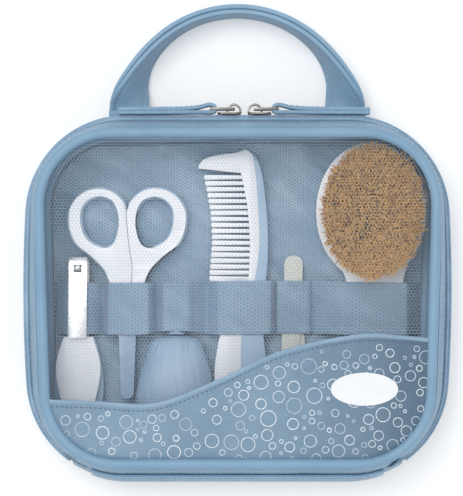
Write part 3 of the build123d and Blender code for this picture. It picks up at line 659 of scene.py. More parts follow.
def foil(name):
    """Pale printed foil, stronger on some rings than on others and a little worn."""
    f = Finish(name, Metallic=0.15, Specular_IOR_Level=0.5)
    worn = f.span(f.noise(f.place(), 1.1, 3), 0.3, 0.6, 0.45, 1.0)
    share = f.maths("MULTIPLY", worn, f.own("strength"))
    colour = f.blend(share, (140, 168, 190), (238, 245, 250))
    return f.done(colour, f.span(worn, 0.4, 1.0, 0.5, 0.3), f.bump(worn, 0.02))


def metal(name, colour, rough):
    """Bright metal with a faint brushed and smudged surface."""
    f = Finish(name, Metallic=1.0)
    where = f.place()
    scratch = f.noise(f.mapped(where, Scale=(14.0, 1.0, 14.0)), 1.6, 2)
    smudge = f.noise(where, 4.0, 3)
    tone = f.blend(f.span(smudge, 0.3, 0.7), colour, scaled(colour, 0.9))
    return f.done(tone, f.span(smudge, 0.3, 0.7, rough, rough * 1.7), f.bump(scratch, 0.006))


def moulded(name, dark, light, rough, coat=0.0, texture=0.01, size=0.5):
    """Moulded plastic or rubber with a very fine skin and slight shade changes."""
    f = Finish(name, Specular_IOR_Level=0.5, Coat_Weight=coat, Coat_Roughness=0.12,
               Subsurface_Weight=0.06, Subsurface_Scale=0.001, Subsurface_Radius=(1.0, 0.8, 0.7))
    where = f.place()
    cloudy = f.blend(f.span(f.noise(where, 18, 3), 0.3, 0.7), dark, light)
    roughness = f.span(f.noise(where, 2.2, 3), 0.3, 0.7, *rough)
    return f.done(cloudy, roughness, f.bump(f.noise(where, size, 2), texture))


def abrasive(name):
    """Cream paper with fine grit."""
    f = Finish(name, Roughness=0.9, Specular_IOR_Level=0.3)
    where = f.place()
    speck = f.span(f.noise(where, 0.3, 2), 0.42, 0.62)
    colour = f.blend(speck, (214, 214, 204), (240, 240, 232))
    return f.done(colour, None, f.bump(f.cells(where, 0.28), 0.06))


def hair(name):
    """Tan bristles, darker at the root and different from strand to strand."""
    f = Finish(name, Roughness=0.55, Specular_IOR_Level=0.3, Sheen_Weight=0.1)
    up = f.span(f.axis(f.place(), "Z"), 0.022, 0.0305)
    tone = f.blend(f.own("strand"), (240, 172, 66), (255, 230, 150))
    return f.done(f.blend(up, (212, 142, 56), tone))


def thread(name, colour):
    """Twisted sewing thread."""
    f = Finish(name, Roughness=0.7, Sheen_Weight=0.2)
    twist = f.node("TexWave", {"Vector": f.place(), "Scale": 700.0, "Distortion": 1.0})
    twist = twist.outputs["Fac"]
    darker = scaled(linear(*colour), 0.75)
    return f.done(f.blend(twist, darker, colour), None, f.bump(twist, 0.04))


def pale_floor(name):
    """A matt pale floor that looks white to the camera and keeps the soft shadow."""
    f = Finish(name, Roughness=1.0, Specular_IOR_Level=0.0, Base_Color=(0.9, 0.9, 0.9, 1.0))
    path = f.node("LightPath")
    seen = f.maths("MAXIMUM", path.outputs["Is Camera Ray"],
                   f.maths("MAXIMUM", path.outputs["Is Glossy Ray"],
                           path.outputs["Is Transmission Ray"]))
    glow = f.node("Emission", {"Color": (1, 1, 1, 1), "Strength": f.maths("MULTIPLY", seen, 0.2)})
    total = f.node("AddShader", {0: f.surface.outputs[0], 1: glow.outputs[0]})
    f.tree.links.new(total.outputs[0], f.tree.nodes["Material Output"].inputs["Surface"])
    return f.material


CASE_SKIN = leatherette("case_leatherette", (126, 158, 183), (142, 173, 197))
PIPING_SKIN = leatherette("piping_leatherette", (121, 155, 182), (134, 167, 192),
                          0.7, 0.02, (0.36, 0.48))
HANDLE_SKIN = leatherette("handle_leatherette", (122, 154, 179), (138, 169, 193))
HEM_SKIN = leatherette("hem_satin", (124, 153, 176), (146, 173, 195), 0.5, 0.01, (0.4, 0.5))
LINING_CLOTH = mesh_cloth("lining_cloth", (128, 156, 181), (190, 211, 228), 1.6,
                          depth=0.12, wrinkle=5.0)
# Painted shade: the side walls' inner cloth is a darker copy of the lining cloth, for the walls
# that stand in shadow inside the case.
SHADED_GUTTER_CLOTH = mesh_cloth("gutter_cloth_painted_shade", (82, 109, 134), (104, 132, 156), 2.2)
BAND_CLOTH = mesh_cloth("band_elastic", (128, 156, 181), (170, 194, 215), 1.9, True,
                        depth=0.16, wrinkle=0.25)
NET_THREADS = moulded("net_threads", (208, 224, 238), (226, 237, 246), (0.5, 0.65))
NET_THREADS.node_tree.nodes["Principled BSDF"].inputs["Alpha"].default_value = 0.6
SATIN = satin("satin_cloth")
FOIL = foil("ring_foil")
TAPE_CLOTH = woven("zip_tape", (118, 149, 174), (150, 180, 203), 0.7)
TEETH = moulded("zip_teeth", (138, 170, 196), (164, 194, 217), (0.3, 0.45))
SILVER = metal("zip_silver", (0.2, 0.19, 0.18, 1.0), 0.26)
# Painted shade and painted highlight: the clipper's steel is one metal in two copies. This dark
# one, also on the scissors rivet and the clipper post, is darkened so the lamp's highlights on the
# clipper head do not burn out. The bright copy on the lever paints its white reflection.
STEEL = metal("polished_steel_painted_shade", (0.32, 0.325, 0.34, 1.0), 0.2)
LIT_LEVER_STEEL = metal("lever_steel_painted_highlight", (0.84, 0.85, 0.87, 1.0), 0.2)
BLADE_STEEL = metal("blade_steel", (0.74, 0.75, 0.77, 1.0), 0.18)
WHITE = moulded("white_plastic", (242, 244, 249), (250, 251, 254), (0.18, 0.28), 0.3)
SOFT_BLUE = moulded("soft_blue", (158, 186, 212), (174, 200, 223), (0.34, 0.46), 0.1)
GUARD_BLUE = moulded("guard_blue", (150, 177, 203), (168, 192, 214), (0.22, 0.32), 0.3)
BULB_SKIN = moulded("bulb_rubber", (148, 177, 203), (168, 194, 217), (0.4, 0.52), 0.05)
PAD_SKIN = moulded("bristle_pad", (186, 150, 104), (204, 170, 124), (0.5, 0.6))
BLANK_FILM = moulded("blank_white_film", (232, 238, 243), (244, 247, 250), (0.3, 0.4),
                     0.2, 0.02, 0.8)
EMERY = abrasive("emery_paper")
BRISTLES = hair("bristles")
PALE_THREAD = thread("pale_thread", (168, 193, 214))
DARK_THREAD = thread("dark_thread", (78, 104, 130))
CASE_THREAD = thread("case_thread", (134, 163, 187))


# Case.

def softened(node, material, body, slot, radius, segments=3, levels=0):
    """A copy of a CAD node with its edges rounded, in place of it."""
    piece = added(node + "_form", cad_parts[node].data.copy())
    with editing(piece):
        bpy.ops.mesh.remove_doubles(threshold=0.004 * MM)
        bpy.ops.mesh.dissolve_limited(angle_limit=radians(1.5))
    if levels:
        finish_with(piece, "SUBSURF", levels=levels, render_levels=levels)
    if radius:
        bevelled(piece, radius, segments, 35)
    return settled(piece, 42, material, body, [node])


def piping(which, z, body):
    """The round welt on a panel's edge, a little uneven as sewn welt is."""
    loop = case_loop(0, -PIPING_RADIUS, 420)
    outs = [outward(loop, i) for i in range(len(loop))]
    rows, sides = [], 18
    for k in range(sides):
        a = 2 * pi * k / sides
        row = []
        for (x, y), n in zip(loop, outs):
            r = PIPING_RADIUS * (0.985 + 0.012 * wobble(x, y, k * 3, 6))
            row.append((x + n.x * r * cos(a), y + n.y * r * cos(a), z + r * sin(a)))
        rows.append(row)
    piece = faces_out(grid_piece(which + "_piping_welt", rows + rows[:1], closed=True))
    settled(piece, 60, PIPING_SKIN, body, [which + "_piping"])


def gusset(body, z0, z1):
    """A side wall of leatherette, softly crowned and faintly rippled, lined inside with a darker
    copy of the lining cloth that paints the shade on the inner wall. It runs on to the hinge line
    behind the spine."""
    way, at_zip = (1, z0) if body == "lid" else (-1, z1)
    rows, steps = [], 9
    for k in range(steps + 1):
        z, bow = lerp(z0, z1, k / steps), sin(pi * k / steps)
        row = []
        for x, y in case_loop(wall_share(z), -WALL_INSET, WALL_COUNT):
            z_here = z
            if y < 0 and abs(x) < SPINE_HALF + END_TAB + 2.0:
                z_here = lerp(z, ZIP_Z + way * 0.4, max(0.0, 1 - abs(z - at_zip) / 6.0))
                y *= half_height_at(z_here) / half_height_at(z)
            ripple = 0.22 * wobble(x, y, z * 2.0, 17) + 0.1 * wobble(x, y, z, 5)
            grow = 1 + (0.45 + ripple) * bow / hypot(x, y)
            row.append((x * grow, y * grow, z_here))
        rows.append(row)
    piece = grid_piece(body + "_gusset_form", rows[::-1], closed=True)
    thickened(piece, 1.5, use_even_offset=True, material_offset=1)
    settled(piece, 50, CASE_SKIN, body, [body + "_gusset"])
    # The inner faces take the darker cloth that paints the walls' shade.
    piece.data.materials.append(SHADED_GUTTER_CLOTH)


def gusset_stitches(body, z):
    """A sewn line round a side wall, beside the zipper tape."""
    loop = case_loop(wall_share(z), -0.55, WALL_COUNT)
    run = [((x, y, z), tuple(outward(loop, i))) for i, (x, y) in enumerate(loop)]
    sewn(body + "_gusset_stitches", [run + run[:1]], 3.0, CASE_THREAD, body)


def without_spine(loop):
    """The stretch of a loop that carries the zipper, in order, as indices."""
    half = SPINE_HALF + END_TAB + 0.6
    keep = [abs(x) >= half or y >= 0 for x, y in loop]
    start = next(i for i in range(len(loop)) if keep[i] and not keep[i - 1])
    order = [(start + k) % len(loop) for k in range(len(loop))]
    return [i for i in order if keep[i]]


def zip_half(way, body):
    """A woven tape, its corded edge and its row of teeth."""
    count = 520
    run = without_spine(case_loop(1, -WALL_INSET, count))
    rows = []
    for k in range(4):
        z = lerp(ZIP_Z + way * TAPE_FROM, ZIP_Z + way * TAPE_TO, k / 3)
        loop = case_loop(wall_share(z), lerp(-2.3, -1.7, k / 3), count)
        rows.append([(*loop[i], z) for i in run])
    tape = grid_piece(body + "_zip_tape", rows[::-1] if way > 0 else rows)
    thickened(tape, 0.8)
    settled(tape, 40, TAPE_CLOTH, body, [body + "_tape"])

    loop = case_loop(1, -1.6, count)
    rows = []
    for k in range(9):
        a = 2 * pi * k / 8
        r, z = BEAD_RADIUS * cos(a) - 0.5, ZIP_Z + way * 1.4 + BEAD_RADIUS * sin(a)
        rows.append([(loop[i][0] + outward(loop, i).x * r, loop[i][1] + outward(loop, i).y * r, z)
                     for i in run])
    bead = grid_piece(body + "_bead", rows)

    bpy.ops.mesh.primitive_cube_add(size=1.0)
    tooth = bpy.context.object
    with editing(tooth):
        bpy.ops.transform.resize(value=metres(*TOOTH_SIZE), center_override=(0, 0, 0))
        bpy.ops.mesh.bevel(offset=0.16 * MM, segments=1)
    length = sum(dist(loop[i], loop[(i + 1) % count]) for i in run)
    number = int(length / TOOTH_PITCH)
    line = evenly([loop[i] for i in run], 2 * number + 1)
    places = []
    for j in range(1 if way > 0 else 0, 2 * number, 2):
        (ax, ay), (bx, by) = line[max(j - 1, 0)], line[j + 1]
        places.append(at((*line[j], ZIP_Z + way * 0.5), (bx - ax, by - ay, 0), (0, 0, 1)))
    piece = joined(body + "_zip_teeth", [copies(body + "_teeth", tooth, places), bead])
    settled(piece, 30, TEETH, body, [body + "_chain"])


def end_tab(name, side):
    """A short piece of leatherette sewn over the end of the zipper, close to the case."""
    xs = np.linspace(SPINE_HALF - 2.0, SPINE_HALF + END_TAB, 16)[::side]
    rows = []
    for k in range(9):
        z = lerp(ZIP_Z - END_TAB_REACH, ZIP_Z + END_TAB_REACH, k / 8)
        y = 0.5 - lerp(*HEIGHT, wall_share(z)) / 2 - 0.5 * (1 - abs(z - ZIP_Z) / END_TAB_REACH)
        rows.append([(side * x, y + low_rise(x, z), z) for x in xs])
    piece = grid_piece(name + "_form", rows)
    thickened(piece, 1.0)
    bevelled(piece, 0.3, 2, 50)
    settled(piece, 50, PIPING_SKIN, "base", [name])


def spine_strip():
    """One strip of leatherette over the hinge, with the sewn edges of both halves."""
    crest = -HEIGHT[1] / 2 - 1.2
    lean = (HEIGHT[1] - HEIGHT[0]) / 2
    rows = []
    for k in range(25):
        z = lerp(ZIP_Z - SPINE_REACH, ZIP_Z + SPINE_REACH, k / 24)
        depth = ZIP_Z if z < ZIP_Z else CASE_DEPTH - ZIP_Z
        off = abs(z - ZIP_Z)
        y = crest + lean * off / depth + 0.25 * (1 - min(1.0, off / 2.0))
        y += 0.3 * max(0.0, off - 9.9)
        rows.append([(x, y + low_rise(x, z) + 0.1 * wobble(x, z, 0, 8), z)
                     for x in np.linspace(-SPINE_HALF, SPINE_HALF, 70)])
    piece = grid_piece("spine_strip", rows)
    thickened(piece, SPINE_THICK)
    for body, way, depth in (("base", -1, ZIP_Z), ("lid", 1, CASE_DEPTH - ZIP_Z)):
        z, y = ZIP_Z + way * SPINE_STITCH, crest + lean * SPINE_STITCH / depth - 0.02
        run = [((x, y + low_rise(x, z), z), (0, -1, -0.2 * way))
               for x in np.linspace(-SPINE_HALF + 2, SPINE_HALF - 2, 60)]
        sewn("spine_stitches_" + body, [run], 3.0, CASE_THREAD, body)
    settled(piece, 50, PIPING_SKIN, None, ["spine_base", "spine_lid"])
    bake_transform(piece)


def lining():
    """The quilted floor of the case, with the shallow wrinkles of loose cloth."""
    profile = half_outline(0, -5.6)
    rows = []
    for r in range(121):
        y = lerp(profile[-1][1], profile[0][1], r / 120)
        half = half_width(profile, y)
        row = []
        for c in range(141):
            x = lerp(-half, half, c / 140)
            fold = 0.45 * wobble(x * 0.6 + y * 0.5, y * 0.5 - x * 0.3, 4.0, 15)
            crinkle = 0.35 * abs(wobble(x + 40, y * 1.3, 9.0, 8))
            row.append((x, y, LINING_TOP - 0.4 + fold - crinkle))
        rows.append(row)
    piece = grid_piece("lining_cloth", rows)
    thickened(piece, 1.2)
    settled(piece, 60, LINING_CLOTH, "base", ["base_lining"])


def net(side):
    """Half of the fine honeycomb net that is stretched over the window."""
    profile = half_outline(0, -3.2)
    radius, row_step = NET_PITCH / sqrt(3), NET_PITCH * sqrt(3) / 2
    rows = int(HEIGHT[0] / 2 / row_step) + 1
    columns = int(TOP_WIDTH[0] / 2 / NET_PITCH) + 1
    points, index, faces = [], {}, []
    for r in range(-rows, rows + 1):
        for c in range(-columns, columns + 1):
            x0, y0 = (c + 0.5 * (r % 2)) * NET_PITCH, r * row_step
            if x0 * side < 0 or (x0 == 0 and side < 0) or abs(y0) > HEIGHT[0] / 2 - 3.6:
                continue
            if abs(x0) > half_width(profile, y0) - 0.2 or y0 < pocket_y(x0) - 3.5:
                continue
            ring = []
            for k in range(6):
                a = radians(60 * k + 30)
                x, y = x0 + radius * cos(a), y0 + radius * sin(a)
                key = (round(x, 2), round(y, 2))
                if key not in index:
                    index[key] = len(points)
                    sag = 0.3 * wobble(x * 0.7 + y * 0.4, y * 0.7, 2.0, 28)
                    points.append((x + 0.08 * wobble(x, y, 5, 3), y + 0.08 * wobble(x, y, 8, 3),
                                   NET_Z + sag))
                ring.append(index[key])
            faces.append(ring)
    piece = piece_from("window_net_" + ("left" if side < 0 else "right"), points, faces)
    with editing(piece):
        bpy.ops.mesh.inset(use_individual=True, thickness=NET_THREAD / 2 * MM)
        bpy.ops.mesh.delete(type="ONLY_FACE")
    thickened(piece, NET_THICK, 0.0)
    settled(piece, 0, NET_THREADS, "lid", ["window_net"])


def printed_rings():
    """Thin rings of foil in many sizes, laid out by chance and clear of each other."""
    random.seed(RING_SEED)
    laid = []
    for low, high, wanted in RING_SIZES:
        tries = 0
        while wanted and tries < 4000:
            tries += 1
            r = random.uniform(low, high)
            x, y = random.uniform(*RING_FIELD[0]), random.uniform(*RING_FIELD[1])
            if y + r > pocket_y(x) - 3.8 or y < panel_low(x) + r * 0.4 + 1.0 or abs(x) + r > 91:
                continue
            if any(dist((x, y), (a, b)) < r + c + RING_GAP for a, b, c in laid):
                continue
            laid.append((x, y, r))
            wanted -= 1
    points, faces, strength = [], [], []
    for x, y, r in laid:
        line = random.uniform(0.3, 0.42)
        count = 20 if r < 1.2 else 36
        start = len(points)
        for k in range(count):
            a = 2 * pi * k / count
            for reach, up in ((r - line / 2, 0.0), (r, 0.05), (r + line / 2, 0.0)):
                px, py = x + reach * cos(a), y + reach * sin(a)
                py = max(py, panel_low(px) + 0.3)
                points.append((px, py, panel_height(px, py) + up + 0.02))
            a, b = start + 3 * k, start + 3 * ((k + 1) % count)
            faces += [(a, a + 1, b + 1, b), (a + 1, a + 2, b + 2, b + 1)]
        strength += [random.choice(RING_STRENGTHS)] * (3 * count)
    piece = piece_from("printed_rings", points, faces)
    per_point(piece, "strength", strength)
    with editing(piece):
        bpy.ops.mesh.flip_normals()
    settled(piece, 60, FOIL, "lid")


def panel_hem(reach):
    """The folded hem along the printed panel's wavy edge."""
    section = ((0.15, -0.5), (0.3, -0.1), (0.2, 0.16), (-0.3, 0.26), (-1.0, 0.24), (-1.5, 0.12),
               (-1.65, -0.1), (-1.5, -0.4))
    rows = []
    for across, up in section + section[:1]:
        row = []
        for x in np.linspace(-reach + 0.5, reach - 0.5, 170):
            y, slope = pocket_y(x), (pocket_y(x + 1) - pocket_y(x - 1)) / 2
            n = Vector((-slope, 1, 0)).normalized()
            row.append((x + n.x * across, y + n.y * across,
                        panel_height(x, y) + up + 0.05 * wobble(x, y, up, 4)))
        rows.append(row)
    hem = faces_out(grid_piece("printed_panel_hem", rows))
    return settled(hem, 60, HEM_SKIN, "lid")


def printed_panel():
    """The printed pocket front with its hem, its sewn line and the blank patch."""
    reach = half_width(PANEL_PROFILE, -33.0)
    rows = []
    for r in range(41):
        row = []
        for a in np.linspace(-89.0, 89.0, 121):
            x = reach * sin(radians(a))
            y = lerp(panel_low(x), pocket_y(x), r / 40)
            row.append((x, y, panel_height(x, y)))
        rows.append(row)
    piece = grid_piece("printed_panel", rows)
    thickened(piece, 0.7)
    settled(piece, 60, SATIN, "lid", ["bubble_panel"])
    panel_hem(reach)
    run = []
    for x in np.linspace(-reach + 2, reach - 2, 200):
        y = pocket_y(x) - 2.9
        run.append(((x, y, panel_height(x, y) + 0.06), (0, 0, 1)))
    sewn("printed_panel_stitches", [run], 2.2, DARK_THREAD, "lid",
         length=1.35, width=0.42, height=0.3)
    bpy.ops.mesh.primitive_circle_add(vertices=64, radius=1.0, fill_type="NGON")
    patch = bpy.context.object
    patch.name = "blank_patch"
    with editing(patch):
        bpy.ops.transform.resize(value=metres(*PATCH_HALVES, 1), center_override=(0, 0, 0))
        bpy.ops.mesh.inset(thickness=0.8 * MM)
        bpy.ops.mesh.extrude_region_move(TRANSFORM_OT_translate={"value": (0, 0, 0.12 * MM)})
        bpy.ops.mesh.select_all(action="SELECT")
        bpy.ops.transform.translate(value=metres(*PATCH_CENTRE, PANEL_Z + 0.32))
    thickened(patch, 0.25)
    settled(patch, 60, BLANK_FILM, "lid")


# Handle and pulls.

def handle_station(share):
    """Centre, across and outward directions and thickness of the strap at a share of it."""
    start = asin(2.2 / STRAP_RISE)
    angle = lerp(start, pi - start, share)
    from_base = degrees(min(angle, pi - angle) - start)
    turn = radians(90 * (1 - exp(-from_base / STRAP_TWIST)))
    thick = lerp(STRAP_END_THICK, STRAP_THICK, min(1.0, from_base / 10))
    wide, tall = STRAP_HALF_SPAN, STRAP_RISE
    centre = Vector((-wide * cos(angle), STRAP_FOOT_Y + tall * sin(angle), STRAP_Z))
    along = Vector((wide * sin(angle), tall * cos(angle), 0)).normalized()
    across = Vector((-along.y, along.x, 0)) * cos(turn) + Vector((0, 0, 1)) * sin(turn)
    return centre, across, along.cross(across), thick


def carry_handle():
    """The padded strap: two faces folded round at the edges, with a sewn line along each."""
    half = STRAP_WIDTH / 2
    rows = []
    for s in range(STRAP_STATIONS + 1):
        share = s / STRAP_STATIONS
        centre, across, face, thick = handle_station(share)
        t = thick / 2
        quarter = [(half - 1.1, 0.0), (half - 0.35, 0.14 * t), (half - 0.02, 0.45 * t),
                   (half - 0.25, 0.82 * t), (half - 0.9, 0.98 * t), (half - 1.7, t),
                   (half - 2.4, t - 0.12), (half - 2.9, t - 0.42), (half - 3.4, t - 0.16),
                   (half - 4.6, t - 0.02), (half * 0.25, t - 0.1)]
        profile = quarter + [(-a, b) for a, b in quarter[::-1]]
        profile += [(-a, -b) for a, b in quarter[1:]] + [(a, -b) for a, b in quarter[:0:-1]]
        if s in (0, STRAP_STATIONS):
            centre = centre - Vector((0, 1.5, 0))
        crease = 0.1 * wobble(share * 160, 0, 7.0, 5)
        row = []
        for a, b in profile:
            soft = 0.12 * wobble(share * 150, a, b * 2, 9) + crease * (1 - abs(a) / half)
            b = b - copysign(max(0.0, soft), b) if b else 0.0
            row.append(tuple(centre + across * a + face * b))
        rows.append(row)
    piece = faces_out(grid_piece("carry_strap", rows, closed=True, capped=True))
    settled(piece, 40, HANDLE_SKIN, "handle", ["carry_handle"])
    runs = []
    for side in (-1, 1):
        for edge in (-1, 1):
            run = []
            for s in range(2, 159):
                centre, across, face, thick = handle_station(s / 160)
                lift = side * (thick / 2 - 0.34)
                point = centre + across * edge * (half - 2.9) + face * lift
                run.append((tuple(point), tuple(face * side)))
            runs.append(run)
    sewn("carry_strap_stitches", runs, 2.8, PALE_THREAD, "handle", width=0.48)


def pull_tab(name, side):
    """A strip folded round its link, its two layers sewn together behind the loop."""
    loop_x = SLIDERS_MIDDLE + side * LOOP_REACH
    knots = [(loop_x + side * a, PULL_Y + b) for a, b in PULL_KNOTS]
    line = evenly(smooth_through(knots, 8), 120)
    rows = []
    for k in range(9):
        z = ZIP_Z + lerp(-PULL_HALF_WIDTH, PULL_HALF_WIDTH, k / 8)
        rows.append([(x, y + 0.05 * wobble(x, k / 2, 1.0, 5), z) for x, y in line])
    piece = grid_piece(name + "_strap", rows)
    thickened(piece, PULL_THICK, 0.0)
    bevelled(piece, 0.45, 3, 50)
    settled(piece, 45, HANDLE_SKIN, name, [name.replace("pull", "pull_tab")])
    runs = []
    for edge in (-1, 1):
        run = []
        for s in range(60):
            top = PULL_Y + float(np.interp(s, (0, 14, 40, 59), (1.78, 1.08, 0.84, 0.72)))
            x = loop_x + side * lerp(5.5, 42.0, s / 59)
            run.append(((x, top, ZIP_Z + edge * 2.6), (0, 1, 0)))
        runs.append(run)
    runs.append([((loop_x + side * 5.0, PULL_Y + 1.95, ZIP_Z + lerp(-2.4, 2.4, s / 9)), (0, 1, 0))
                 for s in range(10)])
    sewn(name + "_stitches", runs, 2.4, PALE_THREAD, name, length=1.6, width=0.42)


# Band and tools.

def elastic_band():
    """The elastic over the tools, tacked down between them, with folded hems."""
    knots = [(BAND_TACKS[0], BAND_LOW)]
    for (centre, reach, top), tack in zip(BAND_RESTS, BAND_TACKS[1:]):
        knots += [(centre - reach - 0.6, top + 0.75), (centre + reach + 0.6, top + 0.75),
                  (tack, BAND_LOW)]
    line = np.array(evenly(knots, 700))
    soft = [np.convolve(line[:, k], np.ones(9) / 9, "valid") for k in (0, 1)]
    line = evenly(np.concatenate([line[:4], np.stack(soft, axis=1), line[-4:]]), 330)
    hem = ((0.0, 0.0), (0.012, 0.16), (0.045, 0.22), (0.075, 0.16))
    section = hem + tuple((v, 0.0) for v in (0.09, 0.17, 0.26, 0.35, 0.44, 0.53, 0.62, 0.71, 0.8,
                                             0.88, 0.91))
    section += tuple((1 - v, up) for v, up in hem[::-1])
    rows = []
    for v, up in section:
        row = []
        for x, z in line:
            arch = 2.6 * exp(-((x - BULB_X) / 11) ** 2)
            bottom = BAND_BOTTOM + arch + 0.4 * sin(x / 17)
            y = lerp(bottom, BAND_TOP + 0.5 * sin(x / 23 + 1), v)
            row.append((x, y, z + up + 0.12 * wobble(x, y, 6.0, 7)))
        rows.append(row)
    piece = grid_piece("elastic_band_cloth", rows)
    thickened(piece, 0.7, 0.0)
    settled(piece, 60, BAND_CLOTH, "base", ["elastic_band"])
    runs = []
    for tack in BAND_TACKS:
        for off in (-0.7, 0.7):
            z = BAND_LOW + 0.62 + abs(off) * 0.7
            runs.append([((tack + off, lerp(-17.2, 6.0, s / 11), z), (0, 0, 1))
                         for s in range(12)])
    sewn("band_tacks", runs, 2.2, DARK_THREAD, "base", length=1.5, width=0.42)


def scissor_handle(part, layer, material, owner, z0, z1, rim, radius):
    """One layer of a scissors handle: a pear-shaped ring that runs down into the shank."""
    side = -1 if part == "left" else 1

    def nearest(shift):
        """How close this handle comes to the middle: the blue layer parts along a straight
        line, the white one along the curved line."""
        return HALF_GAP + (0.0 if rim else side * shift)

    close = [(nearest(shift), y) for shift, y in smooth_through(PARTING, 4)]
    ring = moved_out(smooth_through(RING_EDGE[:1] + RING_EDGE, 5), rim)
    ring = [(max(x, nearest(between(y, PARTING, 1, 0))), y) for x, y in ring]
    hole = moved_out(smooth_through(RING_HOLE + RING_HOLE[:1], 5)[:-1], -rim * 0.8)
    plan = bpy.data.curves.new("scissor_plan", "CURVE")
    plan.dimensions = "2D"
    plan.fill_mode = "BOTH"
    plan.extrude = (z1 - z0) / 2 * MM
    for loop in (ring + close, hole):
        spline = plan.splines.new("POLY")
        spline.points.add(len(loop) - 1)
        for point, (x, y) in zip(spline.points, loop):
            point.co = (*metres(side * x, y, 0.0), 1.0)
        spline.use_cyclic_u = True
    node = "scissors_" + part + "_" + layer
    activate(added(node + "_form", plan))
    bpy.ops.object.convert(target="MESH")
    piece = bpy.context.object
    with editing(piece):
        bpy.ops.mesh.remove_doubles(threshold=0.02 * MM)
        bpy.ops.mesh.dissolve_limited(angle_limit=radians(1.0))
        bpy.ops.mesh.normals_make_consistent(inside=False)
        bpy.ops.transform.translate(value=metres(SCISSORS_X, 0, (z0 + z1) / 2))
    bevelled(piece, radius, 6, 35)
    settled(piece, 42, material, owner, [node])


def fuller_teeth(piece):
    """Widens a comb's teeth evenly about their middles."""
    for v in piece.data.vertices:
        x, y = v.co.x / MM, v.co.y / MM
        if TEETH_FROM < y < TEETH_TO and x <= between(y, COMB_ROOTS, 1, 0):
            number = min(LAST_TOOTH, max(0, round((y - FIRST_TOOTH) / COMB_PITCH)))
            middle = FIRST_TOOTH + COMB_PITCH * number
            wider = max(-TOOTH_HALF, min(TOOTH_HALF, (y - middle) * TOOTH_WIDER))
            v.co.y = (middle + wider) * MM


def bristles():
    """Thousands of fine tapered strands, leaning outward and a little untidy."""
    random.seed(STRAND_SEED)
    golden = pi * (3 - sqrt(5))
    points, faces, tone = [], [], []
    for number in range(STRANDS):
        share = sqrt((number + 0.5) / STRANDS)
        a = number * golden + random.uniform(-0.05, 0.05)
        dx = FEET_WIDE * share * cos(a) + random.uniform(-0.35, 0.35)
        dy = FEET_LONG * share * sin(a) + random.uniform(-0.35, 0.35)
        tuft = 0.5 * wobble(dx, dy, 1.0, 3.2)
        length = STRAND_LENGTH + random.uniform(-1.3, 0.2) - 0.9 * share ** 4 + tuft
        lean_x = dx * STRAND_LEAN + random.gauss(0, 1.0) + 1.3 * wobble(dx, dy, 5.0, 3.5)
        lean_y = dy * STRAND_LEAN + random.gauss(0, 1.0) + 1.3 * wobble(dx, dy, 9.0, 3.5)
        spin = random.uniform(0, 6.28)
        start = len(points)
        for up, radius in STRAND_LEVELS:
            bow = up ** 1.7
            x, y, z = BRUSH_X + dx + lean_x * bow, BRUSH_Y + dy + lean_y * bow, FEET_Z + length * up
            for k in range(3):
                b = spin + k * 2 * pi / 3
                points.append((x + radius * cos(b), y + radius * sin(b), z))
        for ring in (start, start + 3):
            for k in range(3):
                p, q = ring + k, ring + (k + 1) % 3
                faces.append((p, q, q + 3, p + 3))
        faces.append((start + 6, start + 7, start + 8))
        faces.append((start + 2, start + 1, start))
        tone += [min(1.0, max(0.0, random.gauss(0.5, 0.28)))] * 9
    piece = piece_from("brush_strands", points, faces)
    per_point(piece, "strand", tone)
    settled(piece, 0, BRISTLES, "brush", ["brush_bristles"])


def bristle_pad():
    """The domed pad that the bristles stand in."""
    bpy.ops.mesh.primitive_uv_sphere_add(segments=64, ring_count=24, radius=1.0)
    pad = bpy.context.object
    pad.name = "brush_pad"
    with editing(pad):
        bpy.ops.mesh.bisect(plane_co=(0, 0, 0.05), plane_no=(0, 0, 1), clear_inner=True,
                            use_fill=True)
        bpy.ops.mesh.select_all(action="SELECT")
        bpy.ops.transform.resize(value=metres(*PAD_HALVES), center_override=(0, 0, 0))
        bpy.ops.transform.translate(value=metres(BRUSH_X, BRUSH_Y, PAD_Z))
    settled(pad, 60, PAD_SKIN, "brush")


# Making.

piping("back", PIPING_RADIUS, "base")
piping("lid", CASE_DEPTH - PIPING_RADIUS, "lid")
for body, start, end, _ in WALLS:
    gusset(body, start, end)
for body, _, _, stitched in WALLS:
    gusset_stitches(body, stitched)
zip_half(-1, "base")
zip_half(1, "lid")
spine_strip()
back_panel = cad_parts["back_panel"]
back_panel.data.materials.clear()
back_panel.data.materials.append(CASE_SKIN)
lining()
net(-1)
net(1)
printed_panel()
printed_rings()
carry_handle()
for which, way in (("left", -1), ("right", 1)):
    pull_tab("pull_" + which, way)
    softened("handle_anchor_" + which, HANDLE_SKIN, "base", "leatherette", 0.35, 2)
    end_tab("end_tab_" + which, way)
    softened("slider_" + which, SILVER, "slider_" + which, "zip_metal", 0.28)
    softened("pull_link_" + which, SILVER, "pull_" + which, "zip_metal", 0.3)
elastic_band()
for part, owner in (("left", "scissors_fixed"), ("right", "scissors_moving")):
    scissor_handle(part, "blue", SOFT_BLUE, owner, TOOL_Z, BLUE_TOP, 0.9, 1.2)
    scissor_handle(part, "white", WHITE, owner, WHITE_FROM, WHITE_TOP, 0, 1.5)
    softened("scissors_" + part + "_blade", BLADE_STEEL, owner, "steel", 0.2, 2)
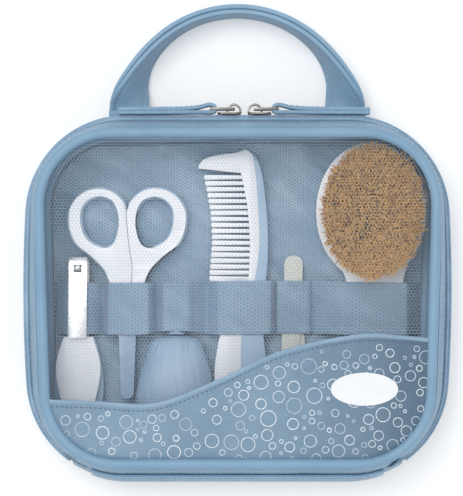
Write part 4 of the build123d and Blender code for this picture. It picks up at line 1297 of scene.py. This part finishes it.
for form in (
        ("scissors_rivet", STEEL, "scissors_fixed", "steel", 0.25),
        ("blade_guard", GUARD_BLUE, "blade_guard", "guard_plastic", 0.5, 4),
        ("clipper_lower_arm", STEEL, "base", "steel", 0.25),
        ("clipper_upper_arm", STEEL, "clipper_jaw", "steel", 0.25),
        ("clipper_post", STEEL, "clipper_post", "steel", 0.2, 2),
        ("clipper_lever", LIT_LEVER_STEEL, "clipper_lever", "steel", 0.3),
        ("clipper_grip_blue", SOFT_BLUE, "base", "blue_rubber", 1.8, 5),
        ("clipper_grip_white", WHITE, "base", "white_plastic", 2.0, 6),
        ("nail_file_1", EMERY, "nail_files", "emery", 0.12, 2),
        ("nail_file_2", EMERY, "nail_files", "emery", 0.12, 2),
        ("nail_file_3", EMERY, "nail_files", "emery", 0.12, 2),
        ("aspirator_bulb", BULB_SKIN, "aspirator", "bulb_rubber", 0, 3, 1),
        ("aspirator_nozzle", GUARD_BLUE, "aspirator", "guard_plastic", 0, 3, 1)):
    softened(*form)
fuller_teeth(softened("comb_body", WHITE, "comb", "white_plastic", 0.4))
softened("comb_back", SOFT_BLUE, "comb", "blue_rubber", 1.4, 5)
softened("brush_back", SOFT_BLUE, "brush", "blue_rubber", 2.2, 5)
softened("brush_body", WHITE, "brush", "white_plastic", 0.6, 4)
bristle_pad()
bristles()

# Camera, light and floor.

bpy.ops.object.camera_add(location=CAMERA_PLACE, rotation=(0, 0, 0))
camera = bpy.context.object
camera.data.lens = CAMERA_LENS
camera.data.sensor_width = CAMERA_SENSOR
bpy.context.scene.camera = camera

bpy.ops.mesh.primitive_plane_add(size=6.0, location=(0, 0, -0.2 * MM))
floor = bpy.context.object
floor.name = "floor"
floor.data.materials.append(pale_floor("pale_floor"))

for name, place, size, power in LAMPS:
    light = bpy.data.lights.new(name, "AREA")
    light.size = size
    light.energy = power
    lamp = added(name, light)
    lamp.location = place
    lamp.rotation_euler = (-Vector(place)).to_track_quat("-Z", "Y").to_euler()
world = bpy.data.worlds.new("pale_room")
world.use_nodes = True
sky = world.node_tree.nodes["Background"].inputs
sky["Color"].default_value = SKY_COLOUR
sky["Strength"].default_value = SKY_STRENGTH
bpy.context.scene.world = world
bpy.context.scene.view_settings.view_transform = "Standard"
